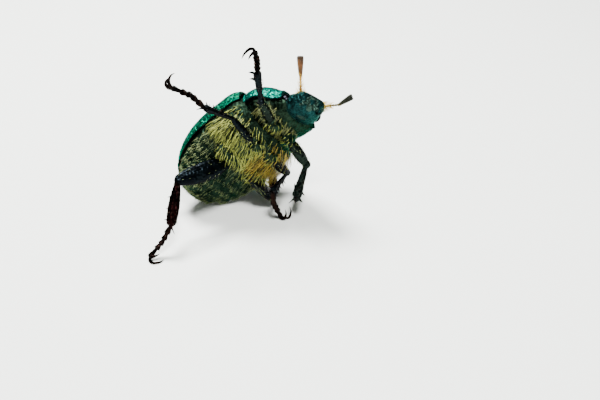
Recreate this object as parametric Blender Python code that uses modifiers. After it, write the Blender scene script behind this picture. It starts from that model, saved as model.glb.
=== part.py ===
"""Life-size still model of a metallic green leaf chafer, Mimela holosericea.

The beetle rears up on its left side: the tips of three feet and the rim of the
left wing case rest on the floor, and the other three legs wave in the air.

Body pieces are drawn in the body's frame, in millimetres: x forward, y to the
beetle's left, z up through its back, origin inside the wing cases. Leg joints are
drawn in the viewer's frame, in millimetres: x right, y up, z towards the viewer,
with the same origin. Everything is turned to the floor's frame and scaled to
metres at the end.
"""
import math
import random

import bmesh
import bpy
from mathutils import Matrix, Vector

MM = 0.001
GAP = 0.3

# Attitude of the body on the floor, in degrees
PITCH_UP = 41.5
ROLL_TO_LEFT = 79.0
HEADING = 4.2
VIEW_ELEVATION = 30.0
# Place of the body's origin in the viewer's frame, and height of that frame's origin over the floor
BODY_PLACE = Vector((-0.7, 0.85, 0.0))
ORIGIN_HEIGHT = 6.8

# Profiles of the body along x, as (x, size) stations
CASE_HALF_WIDTH = [(-8.1, 2.4), (-7.4, 3.4), (-6.2, 4.25), (-4.4, 4.85), (-2.4, 5.08),
                   (0.0, 4.95), (1.8, 4.7), (2.45, 4.35)]
CASE_TOP = [(-8.1, -0.5), (-7.4, 0.9), (-6.2, 1.85), (-4.4, 2.7), (-2.0, 3.15),
            (0.0, 3.15), (1.6, 2.95), (2.45, 2.75)]
CASE_RIM = [(-8.1, -1.7), (-6.5, -1.35), (-4.0, -0.95), (0.0, -0.6), (2.45, -0.3)]
BELLY = [(-8.1, -2.95), (-6.8, -3.4), (-5.0, -3.6), (-3.0, -3.7), (-1.5, -3.8),
         (0.5, -4.0), (1.6, -3.8), (2.45, -3.3)]
CASE_THICKNESS = 0.5
CORE_INSET = CASE_THICKNESS + GAP + 0.05
RIM_INSET = 0.15
CASE_POWERS = (0.7, 0.92)
BELLY_POWERS = (0.8, 0.8)
PRO_POWERS = (0.75, 0.95)
PRO_BELLY_POWERS = (1.1, 1.1)
HEAD_POWERS = (0.85, 0.85)
ABDOMEN_END = -8.1
THORAX_FRONT = 2.45
WAIST = -1.5
VENTRITE_EDGES = (-2.9, -4.0, -5.1, -6.2, -7.2)
VENTRITE_STEP = 0.12
# Extra inset under the steep rear of the cases, and rings that close the tail: x, half width, top, bottom
TAIL_INSET = 0.9
TAIL_INSET_LENGTH = 1.7
TAIL_RINGS = [(-8.45, 1.35, -1.75, -2.85), (-8.7, 0.8, -2.0, -2.55)]
PYGIDIUM_POINT = (-7.65, 0.0, -1.0)
PYGIDIUM_FACING = (-0.9, 0.0, 0.43)
SCUTELLUM_REAR = 0.7
SCUTELLUM_HALF_WIDTH = 1.15

# Prothorax, along x
PRO_REAR = 2.8
PRO_FRONT = 6.8
PRO_HALF_WIDTH = [(2.8, 3.85), (3.6, 3.9), (4.8, 3.6), (5.9, 3.1), (6.8, 2.7)]
PRO_TOP = [(2.8, 2.4), (4.0, 2.1), (5.4, 1.5), (6.8, 0.75)]
PRO_RIM = [(2.8, -0.6), (4.5, -0.85), (6.8, -1.15)]
PRO_BELLY = [(2.8, -2.8), (4.2, -2.85), (5.5, -2.5), (6.8, -1.9)]
PRO_EDGE = 0.3
PRO_CORNER_REACH = 0.6
PRO_BEND = 25.0
NECK = Vector((2.8, 0.0, -0.5))

# Head, in its own straight position
HEAD_HALF_WIDTH = [(6.0, 1.8), (6.8, 2.05), (7.7, 1.88), (8.4, 1.7), (9.0, 1.6), (9.3, 1.25)]
HEAD_TOP = [(6.0, 0.3), (6.8, 0.35), (7.7, 0.1), (8.4, -0.35), (9.0, -0.85), (9.3, -1.15)]
HEAD_BELLY = [(6.0, -1.7), (6.8, -2.15), (7.7, -2.4), (8.4, -2.35), (9.0, -1.85), (9.3, -1.6)]
NAPE = Vector((6.6, 0.0, -0.7))
HEAD_PITCH = -16.0
HEAD_YAW = -17.0
EYE_CENTRE = (7.05, 1.8, -0.85)
EYE_RADII = (0.68, 0.55, 0.62)
ANTENNA_ROOT = (8.15, 1.4, -1.5)
# Mouthparts below the head, left side: centre and half sizes
MOUTH_LUMPS = [((8.0, 0.0, -2.3), (0.8, 0.6, 0.35)), ((8.35, 0.9, -2.15), (0.55, 0.4, 0.4)),
               ((9.0, 0.4, -1.8), (0.35, 0.45, 0.25))]
PALP = [(8.2, 0.9, -2.3), (8.6, 1.15, -2.75), (9.05, 1.1, -2.9), (9.4, 0.95, -2.8)]

# Feelers, in the viewer's frame: directions of stalk and club, shift of the root, lengths, spread of the leaves
ANTENNAE = {
    "left": {"ahead": (1.0, 0.12, -0.05), "club_ahead": (0.82, 0.5, 0.0), "spread": (0.0, 1.0, 0.0),
             "shift": (-0.1, 0.42, 0.0), "stalk": 2.15, "club": 1.55, "leaf_spread": 0.09},
    "right": {"ahead": (-0.01, 1.0, -0.05), "club_ahead": (-0.01, 1.0, -0.05), "spread": (1.0, 0.0, 0.0),
              "shift": (0.5, -0.1, 0.0), "stalk": 2.4, "club": 1.9, "leaf_spread": 0.06},
}
STALK_RADIUS = 0.27

# Hips: centre for the left side, and half sizes along x, y and z
HIPS = {
    "front": ((4.0, 1.2, -2.9), (0.75, 1.0, 0.95)),
    "middle": ((0.9, 1.15, -3.75), (0.75, 1.0, 0.75)),
    "hind": ((-1.9, 1.95, -3.4), (0.85, 1.85, 0.8)),
}
# Point inside each hip, on the left side, which the thigh grows from
THIGH_ROOT = {"front": (4.0, 1.2, -3.2), "middle": (0.9, 1.1, -4.0), "hind": (-2.35, 1.3, -3.75)}
# Leg joints in the viewer's frame: knee, ankle, and the foot's bends down to the claws
LEGS = {
    "front_right": {"knee": (0.6, 3.9, 6.5), "ankle": (0.2, 6.7, 8.4),
                    "foot": ((0.2, 7.6, 9.7), (0.0, 8.3, 11.0))},
    "front_left": {"knee": (5.35, -2.4, 1.6), "ankle": (4.3, -5.8, 1.9),
                   "foot": ((4.35, -6.1, 0.3), (4.5, -5.9, -1.4))},
    "middle_right": {"knee": (-2.2, 2.25, 6.2), "ankle": (-4.8, 3.2, 9.3),
                     "foot": ((-6.0, 4.3, 11.0), (-7.6, 4.9, 12.6))},
    "middle_left": {"knee": (3.45, -3.3, 0.4), "ankle": (1.8, -5.1, 3.2),
                    "foot": ((1.9, -6.4, 2.3), (2.7, -7.88, 0.55))},
    "hind_right": {"knee": (-7.7, -3.9, 5.6), "ankle": (-8.3, -8.3, 6.7),
                   "foot": ((-9.1, -9.85, 6.6), (-10.3, -11.28, 6.6))},
    "hind_left": {"knee": (2.0, -6.1, -1.3), "ankle": (2.0, -3.8, -5.4),
                  "foot": ((1.7, -3.2, -7.3), (1.2, -2.3, -9.15))},
}
# Largest half width and half thickness of thigh and shin, in millimetres
THIGH_SIZE = {"front": (0.62, 0.48), "middle": (0.62, 0.48), "hind": (1.02, 0.55)}
SHIN_SIZE = {"front": (0.42, 0.3), "middle": (0.36, 0.3), "hind": (0.52, 0.4)}
# Shares of the shin's length and size; the hind ones are stoutest in their middle
SHIN = ((0.0, 0.4), (0.05, 0.62), (0.15, 0.62), (0.5, 0.8), (0.85, 1.0), (1.0, 0.9))
HIND_SHIN = ((0.0, 0.4), (0.06, 0.62), (0.3, 0.94), (0.6, 1.1), (0.88, 1.0), (1.0, 0.75))
KNEE_REACH = 0.3
FOOT_RADIUS = 0.28
CLAW_LENGTH = 1.3
# Arc of a claw: shares of its length ahead and along its curl, and millimetres apart from its fellow
CLAW_ARC = ((0.0, 0.0, 0.0), (0.4, -0.02, 0.15), (0.68, 0.28, 0.22), (0.55, 0.75, 0.25), (0.25, 1.0, 0.25))
# Directions, in the viewer's frame, in which the claws of two feet leave the foot and curl
CLAW_LIE = {"hind_right": ((-0.15, -0.5, 0.87), (0.95, 0.15, -0.1)),
            "middle_left": ((0.6, -0.5, 0.2), (0.5, 0.9, 0.3))}
# Spines along the outer edge of the shin, as shares of its length, and the two spurs at its end
SPINE_SHARES = {"front": (0.72, 0.93), "middle": (0.35, 0.62, 0.86), "hind": (0.3, 0.55, 0.8)}
SPINE_LENGTH = {"front": 0.75, "middle": 0.5, "hind": 0.5}
SPUR_LENGTH = 0.95

# Locks of long hair below the thorax: rows along x, and the share of the way round the belly
THORAX_LOCK_ROWS = (1.8, 1.1, 0.35, -0.4)
THORAX_LOCK_COLUMNS = 10
PRO_LOCK_ROWS = (5.45, 6.35)
PRO_LOCK_COLUMNS = 8
LOCK_LENGTH = 1.9
LOCK_LIFT = 0.55
LOCK_SEED = 7

COLOURS = {
    "elytron": (0.01, 0.2, 0.13), "prothorax": (0.01, 0.2, 0.14), "scutellum": (0.01, 0.2, 0.14),
    "head": (0.01, 0.1, 0.1), "eye": (0.01, 0.01, 0.01), "antenna": (0.2, 0.1, 0.02),
    "thorax": (0.06, 0.09, 0.03), "abdomen": (0.04, 0.08, 0.04), "pygidium": (0.05, 0.07, 0.03),
    "coxa": (0.02, 0.06, 0.04), "femur": (0.01, 0.04, 0.03), "tibia": (0.05, 0.02, 0.02),
    "tarsus": (0.03, 0.015, 0.012),
}


def size_at(x, stations):
    """Smooth curve through the stations, read at x."""
    if x <= stations[0][0]:
        return stations[0][1]
    if x >= stations[-1][0]:
        return stations[-1][1]
    index = max(i for i, station in enumerate(stations[:-1]) if station[0] <= x)
    slopes = []
    for k in (index, index + 1):
        before = stations[max(k - 1, 0)]
        after = stations[min(k + 1, len(stations) - 1)]
        slopes.append((after[1] - before[1]) / (after[0] - before[0]))
    (x0, y0), (x1, y1) = stations[index], stations[index + 1]
    span = x1 - x0
    t = (x - x0) / span
    return ((2 * t**3 - 3 * t**2 + 1) * y0 + (t**3 - 2 * t**2 + t) * span * slopes[0]
            + (3 * t**2 - 2 * t**3) * y1 + (t**3 - t**2) * span * slopes[1])


def smooth_step(value):
    value = min(max(value, 0.0), 1.0)
    return value * value * (3 - 2 * value)


def steps(start, end, count):
    return [start + (end - start) * i / count for i in range(count + 1)]


# Mesh helpers

def new_object(name, mesh):
    obj = bpy.data.objects.new(name, mesh)
    bpy.context.scene.collection.objects.link(obj)
    return obj


def finished(name, bm):
    """Turns a bmesh of one closed surface into an object with triangles that face out."""
    bmesh.ops.recalc_face_normals(bm, faces=bm.faces)
    bmesh.ops.triangulate(bm, faces=bm.faces)
    mesh = bpy.data.meshes.new(name)
    bm.to_mesh(mesh)
    bm.free()
    return new_object(name, mesh)


def loft(name, rings):
    """Closed surface through rings of equal point counts, with a flat cap at each end."""
    bm = bmesh.new()
    loops = [[bm.verts.new(point) for point in ring] for ring in rings]
    count = len(loops[0])
    for near, far in zip(loops, loops[1:]):
        for i in range(count):
            j = (i + 1) % count
            bm.faces.new((near[i], near[j], far[j], far[i]))
    bm.faces.new(list(reversed(loops[0])))
    bm.faces.new(loops[-1])
    return finished(name, bm)


def ellipsoid(name, centre, radii, grow=0.0, segments=12, rings=8):
    bm = bmesh.new()
    bmesh.ops.create_uvsphere(bm, u_segments=segments, v_segments=rings, radius=1.0)
    bmesh.ops.scale(bm, vec=Vector(radii) + Vector((grow, grow, grow)), verts=bm.verts)
    bmesh.ops.translate(bm, vec=Vector(centre), verts=bm.verts)
    return finished(name, bm)


def limb(name, route, sizes, side, sides=8, grow=0.0):
    """Closed tube along a route; sizes are half widths (along side) and half thicknesses."""
    points = [Vector(point) for point in route]
    if grow:
        points[0] = points[0] - (points[1] - points[0]).normalized() * grow
        points[-1] = points[-1] + (points[-1] - points[-2]).normalized() * grow
    rings = []
    for i, point in enumerate(points):
        along = (points[min(i + 1, len(points) - 1)] - points[max(i - 1, 0)]).normalized()
        width_axis = (side - along * side.dot(along)).normalized()
        depth_axis = along.cross(width_axis)
        half_width, half_depth = sizes[i]
        ring = []
        for k in range(sides):
            angle = math.tau * (k + 0.5) / sides
            ring.append(point + width_axis * math.cos(angle) * (half_width + grow)
                        + depth_axis * math.sin(angle) * (half_depth + grow))
        rings.append(ring)
    return loft(name, rings)


def boolean(target, tools, operation):
    """Joins the tools to the target, or cuts them from it, and removes them."""
    group = bpy.data.collections.new("tools")
    bpy.context.scene.collection.children.link(group)
    for tool in tools:
        bpy.context.scene.collection.objects.unlink(tool)
        group.objects.link(tool)
    modifier = target.modifiers.new("join", "BOOLEAN")
    modifier.operand_type = "COLLECTION"
    modifier.collection = group
    modifier.operation = operation
    modifier.solver = "EXACT"
    evaluated = target.evaluated_get(bpy.context.evaluated_depsgraph_get())
    mesh = bpy.data.meshes.new_from_object(evaluated)
    target.modifiers.clear()
    target.data = mesh
    for tool in list(group.objects):
        bpy.data.objects.remove(tool)
    bpy.data.collections.remove(group)
    keep_largest(target)


def keep_largest(obj):
    """Keeps the connected surface with the most faces."""
    bm = bmesh.new()
    bm.from_mesh(obj.data)
    unseen = set(bm.faces)
    islands = []
    while unseen:
        island = {unseen.pop()}
        border = list(island)
        while border:
            face = border.pop()
            for edge in face.edges:
                for other in edge.link_faces:
                    if other in unseen:
                        unseen.discard(other)
                        island.add(other)
                        border.append(other)
        islands.append(island)
    islands.sort(key=len)
    scraps = [face for island in islands[:-1] for face in island]
    bmesh.ops.delete(bm, geom=scraps, context="FACES")
    bmesh.ops.triangulate(bm, faces=bm.faces)
    bm.to_mesh(obj.data)
    bm.free()


def cut_by_plane(obj, point, facing):
    """Removes all that lies on the side the plane faces, and closes the cut."""
    bm = bmesh.new()
    bm.from_mesh(obj.data)
    geometry = bm.verts[:] + bm.edges[:] + bm.faces[:]
    cut = bmesh.ops.bisect_plane(bm, geom=geometry, plane_co=Vector(point), plane_no=Vector(facing),
                                 clear_outer=True)
    edges = [item for item in cut["geom_cut"] if isinstance(item, bmesh.types.BMEdge)]
    if edges:
        bmesh.ops.holes_fill(bm, edges=edges, sides=0)
    bmesh.ops.triangulate(bm, faces=bm.faces)
    bm.to_mesh(obj.data)
    bm.free()


def copy_of(obj, name):
    return new_object(name, obj.data.copy())


# Frames

def viewer_to_body():
    return body_to_viewer().inverted()


def viewer_to_floor():
    """The viewer looks down at the floor by the view's elevation."""
    return Matrix.Rotation(math.radians(90 - VIEW_ELEVATION), 4, "X")


def body_to_floor():
    return (Matrix.Translation(viewer_to_floor() @ BODY_PLACE) @ Matrix.Rotation(math.radians(HEADING), 4, "Z")
            @ Matrix.Rotation(math.radians(-PITCH_UP), 4, "Y") @ Matrix.Rotation(math.radians(-ROLL_TO_LEFT), 4, "X"))


def body_to_viewer():
    return viewer_to_floor().inverted() @ body_to_floor()


def bent(point):
    """Bends a point of the prothorax down with its distance from the neck."""
    point = Vector(point)
    angle = math.radians(PRO_BEND) * smooth_step((point.x - PRO_REAR) / 3.0)
    return Matrix.Rotation(angle, 3, "Y") @ (point - NECK) + NECK


def head_matrix():
    bend = Matrix.Rotation(math.radians(PRO_BEND), 4, "Y")
    turn = Matrix.Rotation(math.radians(HEAD_YAW), 4, "Z") @ Matrix.Rotation(math.radians(HEAD_PITCH), 4, "Y")
    return (Matrix.Translation(NECK) @ bend @ Matrix.Translation(NAPE - NECK) @ turn
            @ Matrix.Translation(-NAPE))


# Body

def arc(half_width, base, height, powers, count, start=0.0, end=math.pi):
    """Points of a half ellipse from start to end, from the left side; powers under 1 square it off."""
    points = []
    for angle in steps(start, end, count):
        c, s = math.cos(angle), math.sin(angle)
        y = half_width * math.copysign(abs(c) ** powers[0], c)
        points.append((y, base + height * abs(s) ** powers[1]))
    return points


def core_ring(x, inset=CORE_INSET):
    """One ring of the trunk under the wing cases, with a ledge below their rim."""
    inset += TAIL_INSET * smooth_step((ABDOMEN_END + TAIL_INSET_LENGTH - x) / TAIL_INSET_LENGTH)
    rim = size_at(x, CASE_RIM)
    half_width = size_at(x, CASE_HALF_WIDTH)
    top = size_at(x, CASE_TOP) - inset
    ledge = rim - GAP - 0.02
    bottom = size_at(x, BELLY)
    back = arc(half_width - inset, rim, max(top - rim, 0.1), CASE_POWERS, 10)
    belly = arc(half_width - RIM_INSET, ledge, bottom - ledge, BELLY_POWERS, 14, math.pi, 0.0)
    ledge_in = [(-(half_width - inset), ledge)]
    ledge_out = [(half_width - inset, ledge)]
    return [(x, y, z) for y, z in back + ledge_in + belly + ledge_out]


def shrunk(ring, share):
    """The same ring drawn in towards its own middle by a few tenths."""
    middle = Vector((0.0, 0.0, sum(p[2] for p in ring) / len(ring)))
    out = []
    for x, y, z in ring:
        away = Vector((0.0, y, z - middle.z))
        away = away * max(1 - share / max(away.length, 0.5), 0.1)
        out.append((x, away.y, middle.z + away.z))
    return out


def tail_ring(x, half_width, top, bottom):
    middle = (top + bottom) / 2
    back = arc(half_width, middle, top - middle, (1.0, 1.0), 10)
    belly = arc(half_width * 1.02, middle - 0.02, bottom - middle, (1.0, 1.0), 14, math.pi, 0.0)
    sides = [(-half_width * 1.01, middle - 0.01)], [(half_width * 1.01, middle - 0.01)]
    return [(x, y, z) for y, z in back + sides[0] + belly + sides[1]]


def trunk():
    """Trunk from the front of the thorax to the tail, with a step at each belly plate."""
    stations = sorted(set(steps(ABDOMEN_END, THORAX_FRONT, 9)) | {WAIST}, reverse=True)
    rings = [(x, core_ring(x)) for x in stations]
    for edge in VENTRITE_EDGES:
        rings.append((edge + 0.04, core_ring(edge + 0.04)))
        rings.append((edge - 0.04, shrunk(core_ring(edge - 0.04), VENTRITE_STEP)))
    rings.sort(key=lambda item: -item[0])
    rings = [ring for x, ring in rings]
    rings += [tail_ring(*values) for values in TAIL_RINGS]
    return loft("trunk", rings)


def case_shell(name, start, end, rows, columns, first_x=-8.1, last_x=2.45):
    """Shell of the wing cases between two angles round the back."""
    bm = bmesh.new()
    grid = []
    for x in steps(first_x, last_x, rows):
        half_width = size_at(x, CASE_HALF_WIDTH)
        rim = size_at(x, CASE_RIM)
        outer = arc(half_width, rim, size_at(x, CASE_TOP) - rim, CASE_POWERS, columns, start, end)
        grid.append([bm.verts.new((x, y, z)) for y, z in outer])
    for near, far in zip(grid, grid[1:]):
        for i in range(columns):
            bm.faces.new((near[i], near[i + 1], far[i + 1], far[i]))
    bmesh.ops.recalc_face_normals(bm, faces=bm.faces)
    mesh = bpy.data.meshes.new(name)
    bm.to_mesh(mesh)
    bm.free()
    if mesh.polygons[0].normal.z < 0:
        mesh.flip_normals()
    shell = new_object(name, mesh)
    solidify = shell.modifiers.new("thickness", "SOLIDIFY")
    solidify.thickness = CASE_THICKNESS
    solidify.offset = -1.0
    solidify.use_even_offset = True
    evaluated = shell.evaluated_get(bpy.context.evaluated_depsgraph_get())
    solid = bpy.data.meshes.new_from_object(evaluated)
    shell.modifiers.clear()
    shell.data = solid
    return shell


def scutellum_prism(grow):
    """Upright wedge with the plan of the small shield between the wing cases."""
    rear, front = SCUTELLUM_REAR - 1.6 * grow, THORAX_FRONT + grow
    half = SCUTELLUM_HALF_WIDTH + grow
    plan = [(front, -half), (rear + 0.5, -half * 0.45), (rear, 0.0), (rear + 0.5, half * 0.45), (front, half)]
    return loft("prism", [[(x, y, z) for x, y in plan] for z in (1.2, 4.5)])


def make_trunk_nodes():
    whole = trunk()
    pygidium = copy_of(whole, "pygidium")
    facing = Vector(PYGIDIUM_FACING).normalized()
    cut_by_plane(pygidium, PYGIDIUM_POINT, -facing)
    abdomen = copy_of(whole, "abdomen")
    cut_by_plane(abdomen, Vector(PYGIDIUM_POINT) - facing * GAP, facing)
    cut_by_plane(abdomen, (WAIST - GAP / 2, 0, 0), (1, 0, 0))
    whole.name = "thorax"
    cut_by_plane(whole, (WAIST + GAP / 2, 0, 0), (-1, 0, 0))
    return whole, abdomen, pygidium


def make_cases():
    half_gap = GAP / 2
    cases = []
    for side, start, end in (("left", 0.0, math.pi / 2), ("right", math.pi / 2, math.pi)):
        shell = case_shell(f"elytron_{side}", start, end, 16, 9)
        sign = 1 if side == "left" else -1
        cut_by_plane(shell, (0, sign * half_gap, 0), (0, -sign, 0))
        boolean(shell, [scutellum_prism(GAP)], "DIFFERENCE")
        cases.append(shell)
    shield = case_shell("scutellum", math.pi * 0.3, math.pi * 0.7, 4, 6, 0.3, 2.45)
    boolean(shield, [scutellum_prism(0.0)], "INTERSECT")
    return cases, shield


def make_prothorax():
    rings = []
    for x in steps(PRO_REAR, PRO_FRONT, 9):
        half_width = size_at(x, PRO_HALF_WIDTH)
        rim = size_at(x, PRO_RIM)
        back = arc(half_width, rim, size_at(x, PRO_TOP) - rim, PRO_POWERS, 14)
        ledge = rim - PRO_EDGE
        belly = arc(half_width - 0.35, ledge, size_at(x, PRO_BELLY) - ledge, PRO_BELLY_POWERS, 12,
                    math.pi, 0.0)
        outline = back + [(-half_width, ledge)] + belly + [(half_width, ledge)]
        rings.append([pro_point(x, y, z) for y, z in outline])
    return loft("prothorax", rings)


def pro_point(x, y, z):
    """Point of the prothorax, whose front corners reach forward beside the head."""
    share = min(abs(y) / size_at(x, PRO_HALF_WIDTH), 1.0)
    reach = PRO_CORNER_REACH * (share**3 - 0.4) * smooth_step((x - 4.8) / 2.0)
    return bent((x + reach, y, z))


# Head

def head_capsule(grow=0.0):
    rings = []
    for x in steps(HEAD_HALF_WIDTH[0][0], HEAD_HALF_WIDTH[-1][0], 8):
        top = size_at(x, HEAD_TOP) + grow
        bottom = size_at(x, HEAD_BELLY) - grow
        middle = (top + bottom) / 2
        half_width = size_at(x, HEAD_HALF_WIDTH) + grow
        back = arc(half_width, middle, top - middle, HEAD_POWERS, 8)
        belly = arc(half_width, middle, bottom - middle, HEAD_POWERS, 8, math.pi, 0.0)
        shift = grow * (1 if x > 7.5 else -1)
        rings.append([(x + shift, y, z) for y, z in back + belly[1:-1]])
    obj = loft("head", rings)
    obj.data.transform(head_matrix())
    return obj


def head_point(x, y, z):
    return head_matrix() @ Vector((x, y, z))


def make_head():
    head = head_capsule()
    pieces = []
    for side in (1, -1):
        palp = [head_point(x, side * y, z) for x, y, z in PALP]
        pieces.append(limb("palp", palp, [(0.3, 0.3), (0.26, 0.26), (0.28, 0.28), (0.14, 0.14)],
                           Vector((0, 1, 0)), 6))
        for (x, y, z), radii in MOUTH_LUMPS:
            if y > 0 or side > 0:
                lump = ellipsoid("lump", (0, 0, 0), radii, 0.0, 10, 6)
                lump.data.transform(head_matrix() @ Matrix.Translation((x, side * y, z)))
                pieces.append(lump)
    boolean(head, pieces, "UNION")
    sockets = []
    eyes = []
    for side, label in ((1, "left"), (-1, "right")):
        centre = head_point(EYE_CENTRE[0], side * EYE_CENTRE[1], EYE_CENTRE[2])
        sockets.append(ellipsoid("socket", centre, EYE_RADII, GAP))
        eyes.append(ellipsoid(f"eye_{label}", centre, EYE_RADII))
    for side, label in ((1, "left"), (-1, "right")):
        start, ahead, spread = antenna_axis(side, label)
        size = (STALK_RADIUS, STALK_RADIUS)
        sockets.append(limb("socket", [start, start + ahead], [size, size], spread, 8, GAP))
    boolean(head, sockets, "DIFFERENCE")
    return head, eyes


def head_room():
    """Cutters that clear the head and eyes by the gap."""
    room = [head_capsule(GAP)]
    for side in (1, -1):
        centre = head_point(EYE_CENTRE[0], side * EYE_CENTRE[1], EYE_CENTRE[2])
        room.append(ellipsoid("room", centre, EYE_RADII, GAP))
    return room


def antenna_axis(side, label):
    """Start of a feeler in its socket, its direction, and the direction that its leaves spread in."""
    form = ANTENNAE[label]
    to_body = viewer_to_body().to_3x3()
    root = head_point(ANTENNA_ROOT[0], side * ANTENNA_ROOT[1], ANTENNA_ROOT[2])
    ahead = (to_body @ Vector(form["ahead"])).normalized()
    return root + to_body @ Vector(form["shift"]) + ahead * 0.25, ahead, to_body @ Vector(form["spread"])


def make_antenna(side, label):
    """Stalk of small joints and a club of three leaves, straight from the head's side."""
    form = ANTENNAE[label]
    start, ahead, spread = antenna_axis(side, label)
    joints = [0.0, 0.25, 0.5, 0.75, 1.0]
    shares = [0.8, 1.0, 0.85, 0.85, 0.95]
    stalk = limb(f"antenna_{label}", [start + ahead * form["stalk"] * j for j in joints],
                 [(STALK_RADIUS * s, STALK_RADIUS * s) for s in shares], spread, 6)
    leaves = []
    club_ahead = viewer_to_body().to_3x3() @ Vector(form["club_ahead"])
    for k in (-1, 0, 1):
        out = (club_ahead + spread * form["leaf_spread"] * k).normalized()
        base = start + ahead * (form["stalk"] - 0.25) + spread * 0.08 * k
        route = [base, base + out * form["club"] * 0.5, base + out * form["club"]]
        leaves.append(limb("leaf", route, [(0.14, 0.22), (0.17, 0.34), (0.14, 0.26)], spread, 6))
    boolean(stalk, leaves, "UNION")
    return stalk


# Legs

def hip(kind, side, grow=0.0):
    centre, radii = HIPS[kind]
    centre = Vector((centre[0], centre[1] * side, centre[2]))
    if kind == "front":
        centre = bent(centre)
    return ellipsoid("coxa", centre, radii, grow)


def leg_point(leg, joint):
    return viewer_to_body() @ Vector(LEGS[leg][joint])


def thigh_root(leg):
    kind, label = leg.split("_")
    x, y, z = THIGH_ROOT[kind]
    root = Vector((x, y if label == "left" else -y, z))
    return bent(root) if kind == "front" else root


def broad_side(leg):
    """Direction across the plane that the leg bends in."""
    knee, ankle = leg_point(leg, "knee"), leg_point(leg, "ankle")
    return (knee - thigh_root(leg)).cross(ankle - knee).normalized()


def thigh(leg, grow=0.0):
    start, knee = thigh_root(leg), leg_point(leg, "knee")
    half_width, half_depth = THIGH_SIZE[leg.split("_")[0]]
    end = knee + (knee - start).normalized() * KNEE_REACH
    along = (0.0, 0.12, 0.25, 0.45, 0.7, 0.88, 0.97, 1.0)
    share = (0.5, 0.6, 0.9, 1.0, 0.92, 0.66, 0.5, 0.3)
    in_plane = broad_side(leg).cross(knee - start).normalized()
    return limb("femur", [start.lerp(end, a) for a in along],
                [(half_width * s, half_depth * s) for s in share], in_plane, 10, grow)


def shin(leg, grow=0.0):
    knee, ankle = leg_point(leg, "knee"), leg_point(leg, "ankle")
    half_width, half_depth = SHIN_SIZE[leg.split("_")[0]]
    stations = HIND_SHIN if leg.startswith("hind") else SHIN
    in_plane = broad_side(leg).cross(ankle - knee).normalized()
    return limb("tibia", [knee.lerp(ankle, along) for along, share in stations],
                [(half_width * share, half_depth * share) for along, share in stations], in_plane, 8, grow)


def shin_spines(leg):
    """Spines on the outer edge and two spurs at the end, as cones rooted in the shin."""
    knee, ankle = leg_point(leg, "knee"), leg_point(leg, "ankle")
    kind = leg.split("_")[0]
    along = (ankle - knee).normalized()
    outward = broad_side(leg).cross(along).normalized()
    if outward.dot(knee - thigh_root(leg)) < 0:
        outward.negate()
    spines = []
    for share in SPINE_SHARES[kind]:
        root = knee.lerp(ankle, share)
        tip = root + (outward + along * 0.6).normalized() * (SPINE_LENGTH[kind] + SHIN_SIZE[kind][0] * 0.8)
        spines.append(limb("spine", [root, root.lerp(tip, 0.55), tip], [(0.2, 0.2), (0.17, 0.17), (0.04, 0.04)],
                           along, 5))
    for sign, length in ((1, SPUR_LENGTH), (-1, SPUR_LENGTH * 0.8)):
        root = ankle - along * 0.3 + broad_side(leg) * sign * SHIN_SIZE[kind][1] * 0.4
        lean = (along + broad_side(leg) * sign * 0.35 - outward * 0.35).normalized()
        tip = root + lean * (length + 0.3)
        spines.append(limb("spur", [root, root.lerp(tip, 0.6), tip], [(0.18, 0.18), (0.15, 0.15), (0.04, 0.04)],
                           outward, 5))
    return spines


def foot_route(leg):
    """Middle line of the foot from the ankle to where the claws start."""
    return [leg_point(leg, "ankle")] + [viewer_to_body() @ Vector(point) for point in LEGS[leg]["foot"]]


def ankle_room(leg):
    """The foot's first stretch, wider by the gap."""
    route = foot_route(leg)
    size = (FOOT_RADIUS, FOOT_RADIUS)
    return limb("room", [route[0], route[0].lerp(route[1], 0.6)], [size, size], broad_side(leg), 8, GAP)


def along_route(route, share):
    """Point on a bent line at a share of its length."""
    lengths = [(b - a).length for a, b in zip(route, route[1:])]
    target = share * sum(lengths)
    for (a, b), length in zip(zip(route, route[1:]), lengths):
        if target <= length:
            return a.lerp(b, target / length)
        target -= length
    return route[-1].copy()


def foot(leg):
    """Five joints, each widening to its end, and two unequal claws."""
    route = foot_route(leg)
    side = broad_side(leg)
    ends = (0.0, 0.24, 0.42, 0.58, 0.74, 1.0)
    points, sizes = [], []
    for near, far in zip(ends, ends[1:]):
        for share, radius in ((0.04, 0.72), (0.75, 1.12)):
            points.append(along_route(route, near + (far - near) * share))
            sizes.append((FOOT_RADIUS * radius, FOOT_RADIUS * radius))
    points.append(route[-1])
    sizes.append((FOOT_RADIUS * 0.8, FOOT_RADIUS * 0.8))
    tarsus = limb("tarsus", points, sizes, side, 6)
    direction = (route[-1] - route[-2]).normalized()
    curl = direction.cross(side).normalized()
    if leg in CLAW_LIE:
        direction, curl = [(viewer_to_body().to_3x3() @ Vector(lie)).normalized() for lie in CLAW_LIE[leg]]
        curl = (curl - direction * curl.dot(direction)).normalized()
        side = curl.cross(direction).normalized()
    claws = []
    for sign, length in ((1, CLAW_LENGTH), (-1, CLAW_LENGTH * 0.75)):
        base = route[-1] - direction * 0.15 + side * sign * 0.08
        out = [base + (direction * ahead + curl * turned) * length + side * sign * apart
               for ahead, turned, apart in CLAW_ARC]
        claws.append(limb("claw", out, [(0.2, 0.2), (0.2, 0.2), (0.16, 0.16), (0.11, 0.11), (0.04, 0.04)], side, 5))
    boolean(tarsus, claws, "UNION")
    return tarsus


def make_legs():
    nodes = []
    for leg in LEGS:
        kind, label = leg.split("_")
        side = 1 if label == "left" else -1
        femur, tibia = thigh(leg), shin(leg)
        boolean(femur, [hip(kind, side, GAP), shin(leg, GAP)], "DIFFERENCE")
        boolean(tibia, shin_spines(leg), "UNION")
        boolean(tibia, [ankle_room(leg)], "DIFFERENCE")
        for piece, obj in (("coxa", hip(kind, side)), ("femur", femur), ("tibia", tibia), ("tarsus", foot(leg))):
            obj.name = f"{piece}_{leg}"
            nodes.append(obj)
    return nodes


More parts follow.
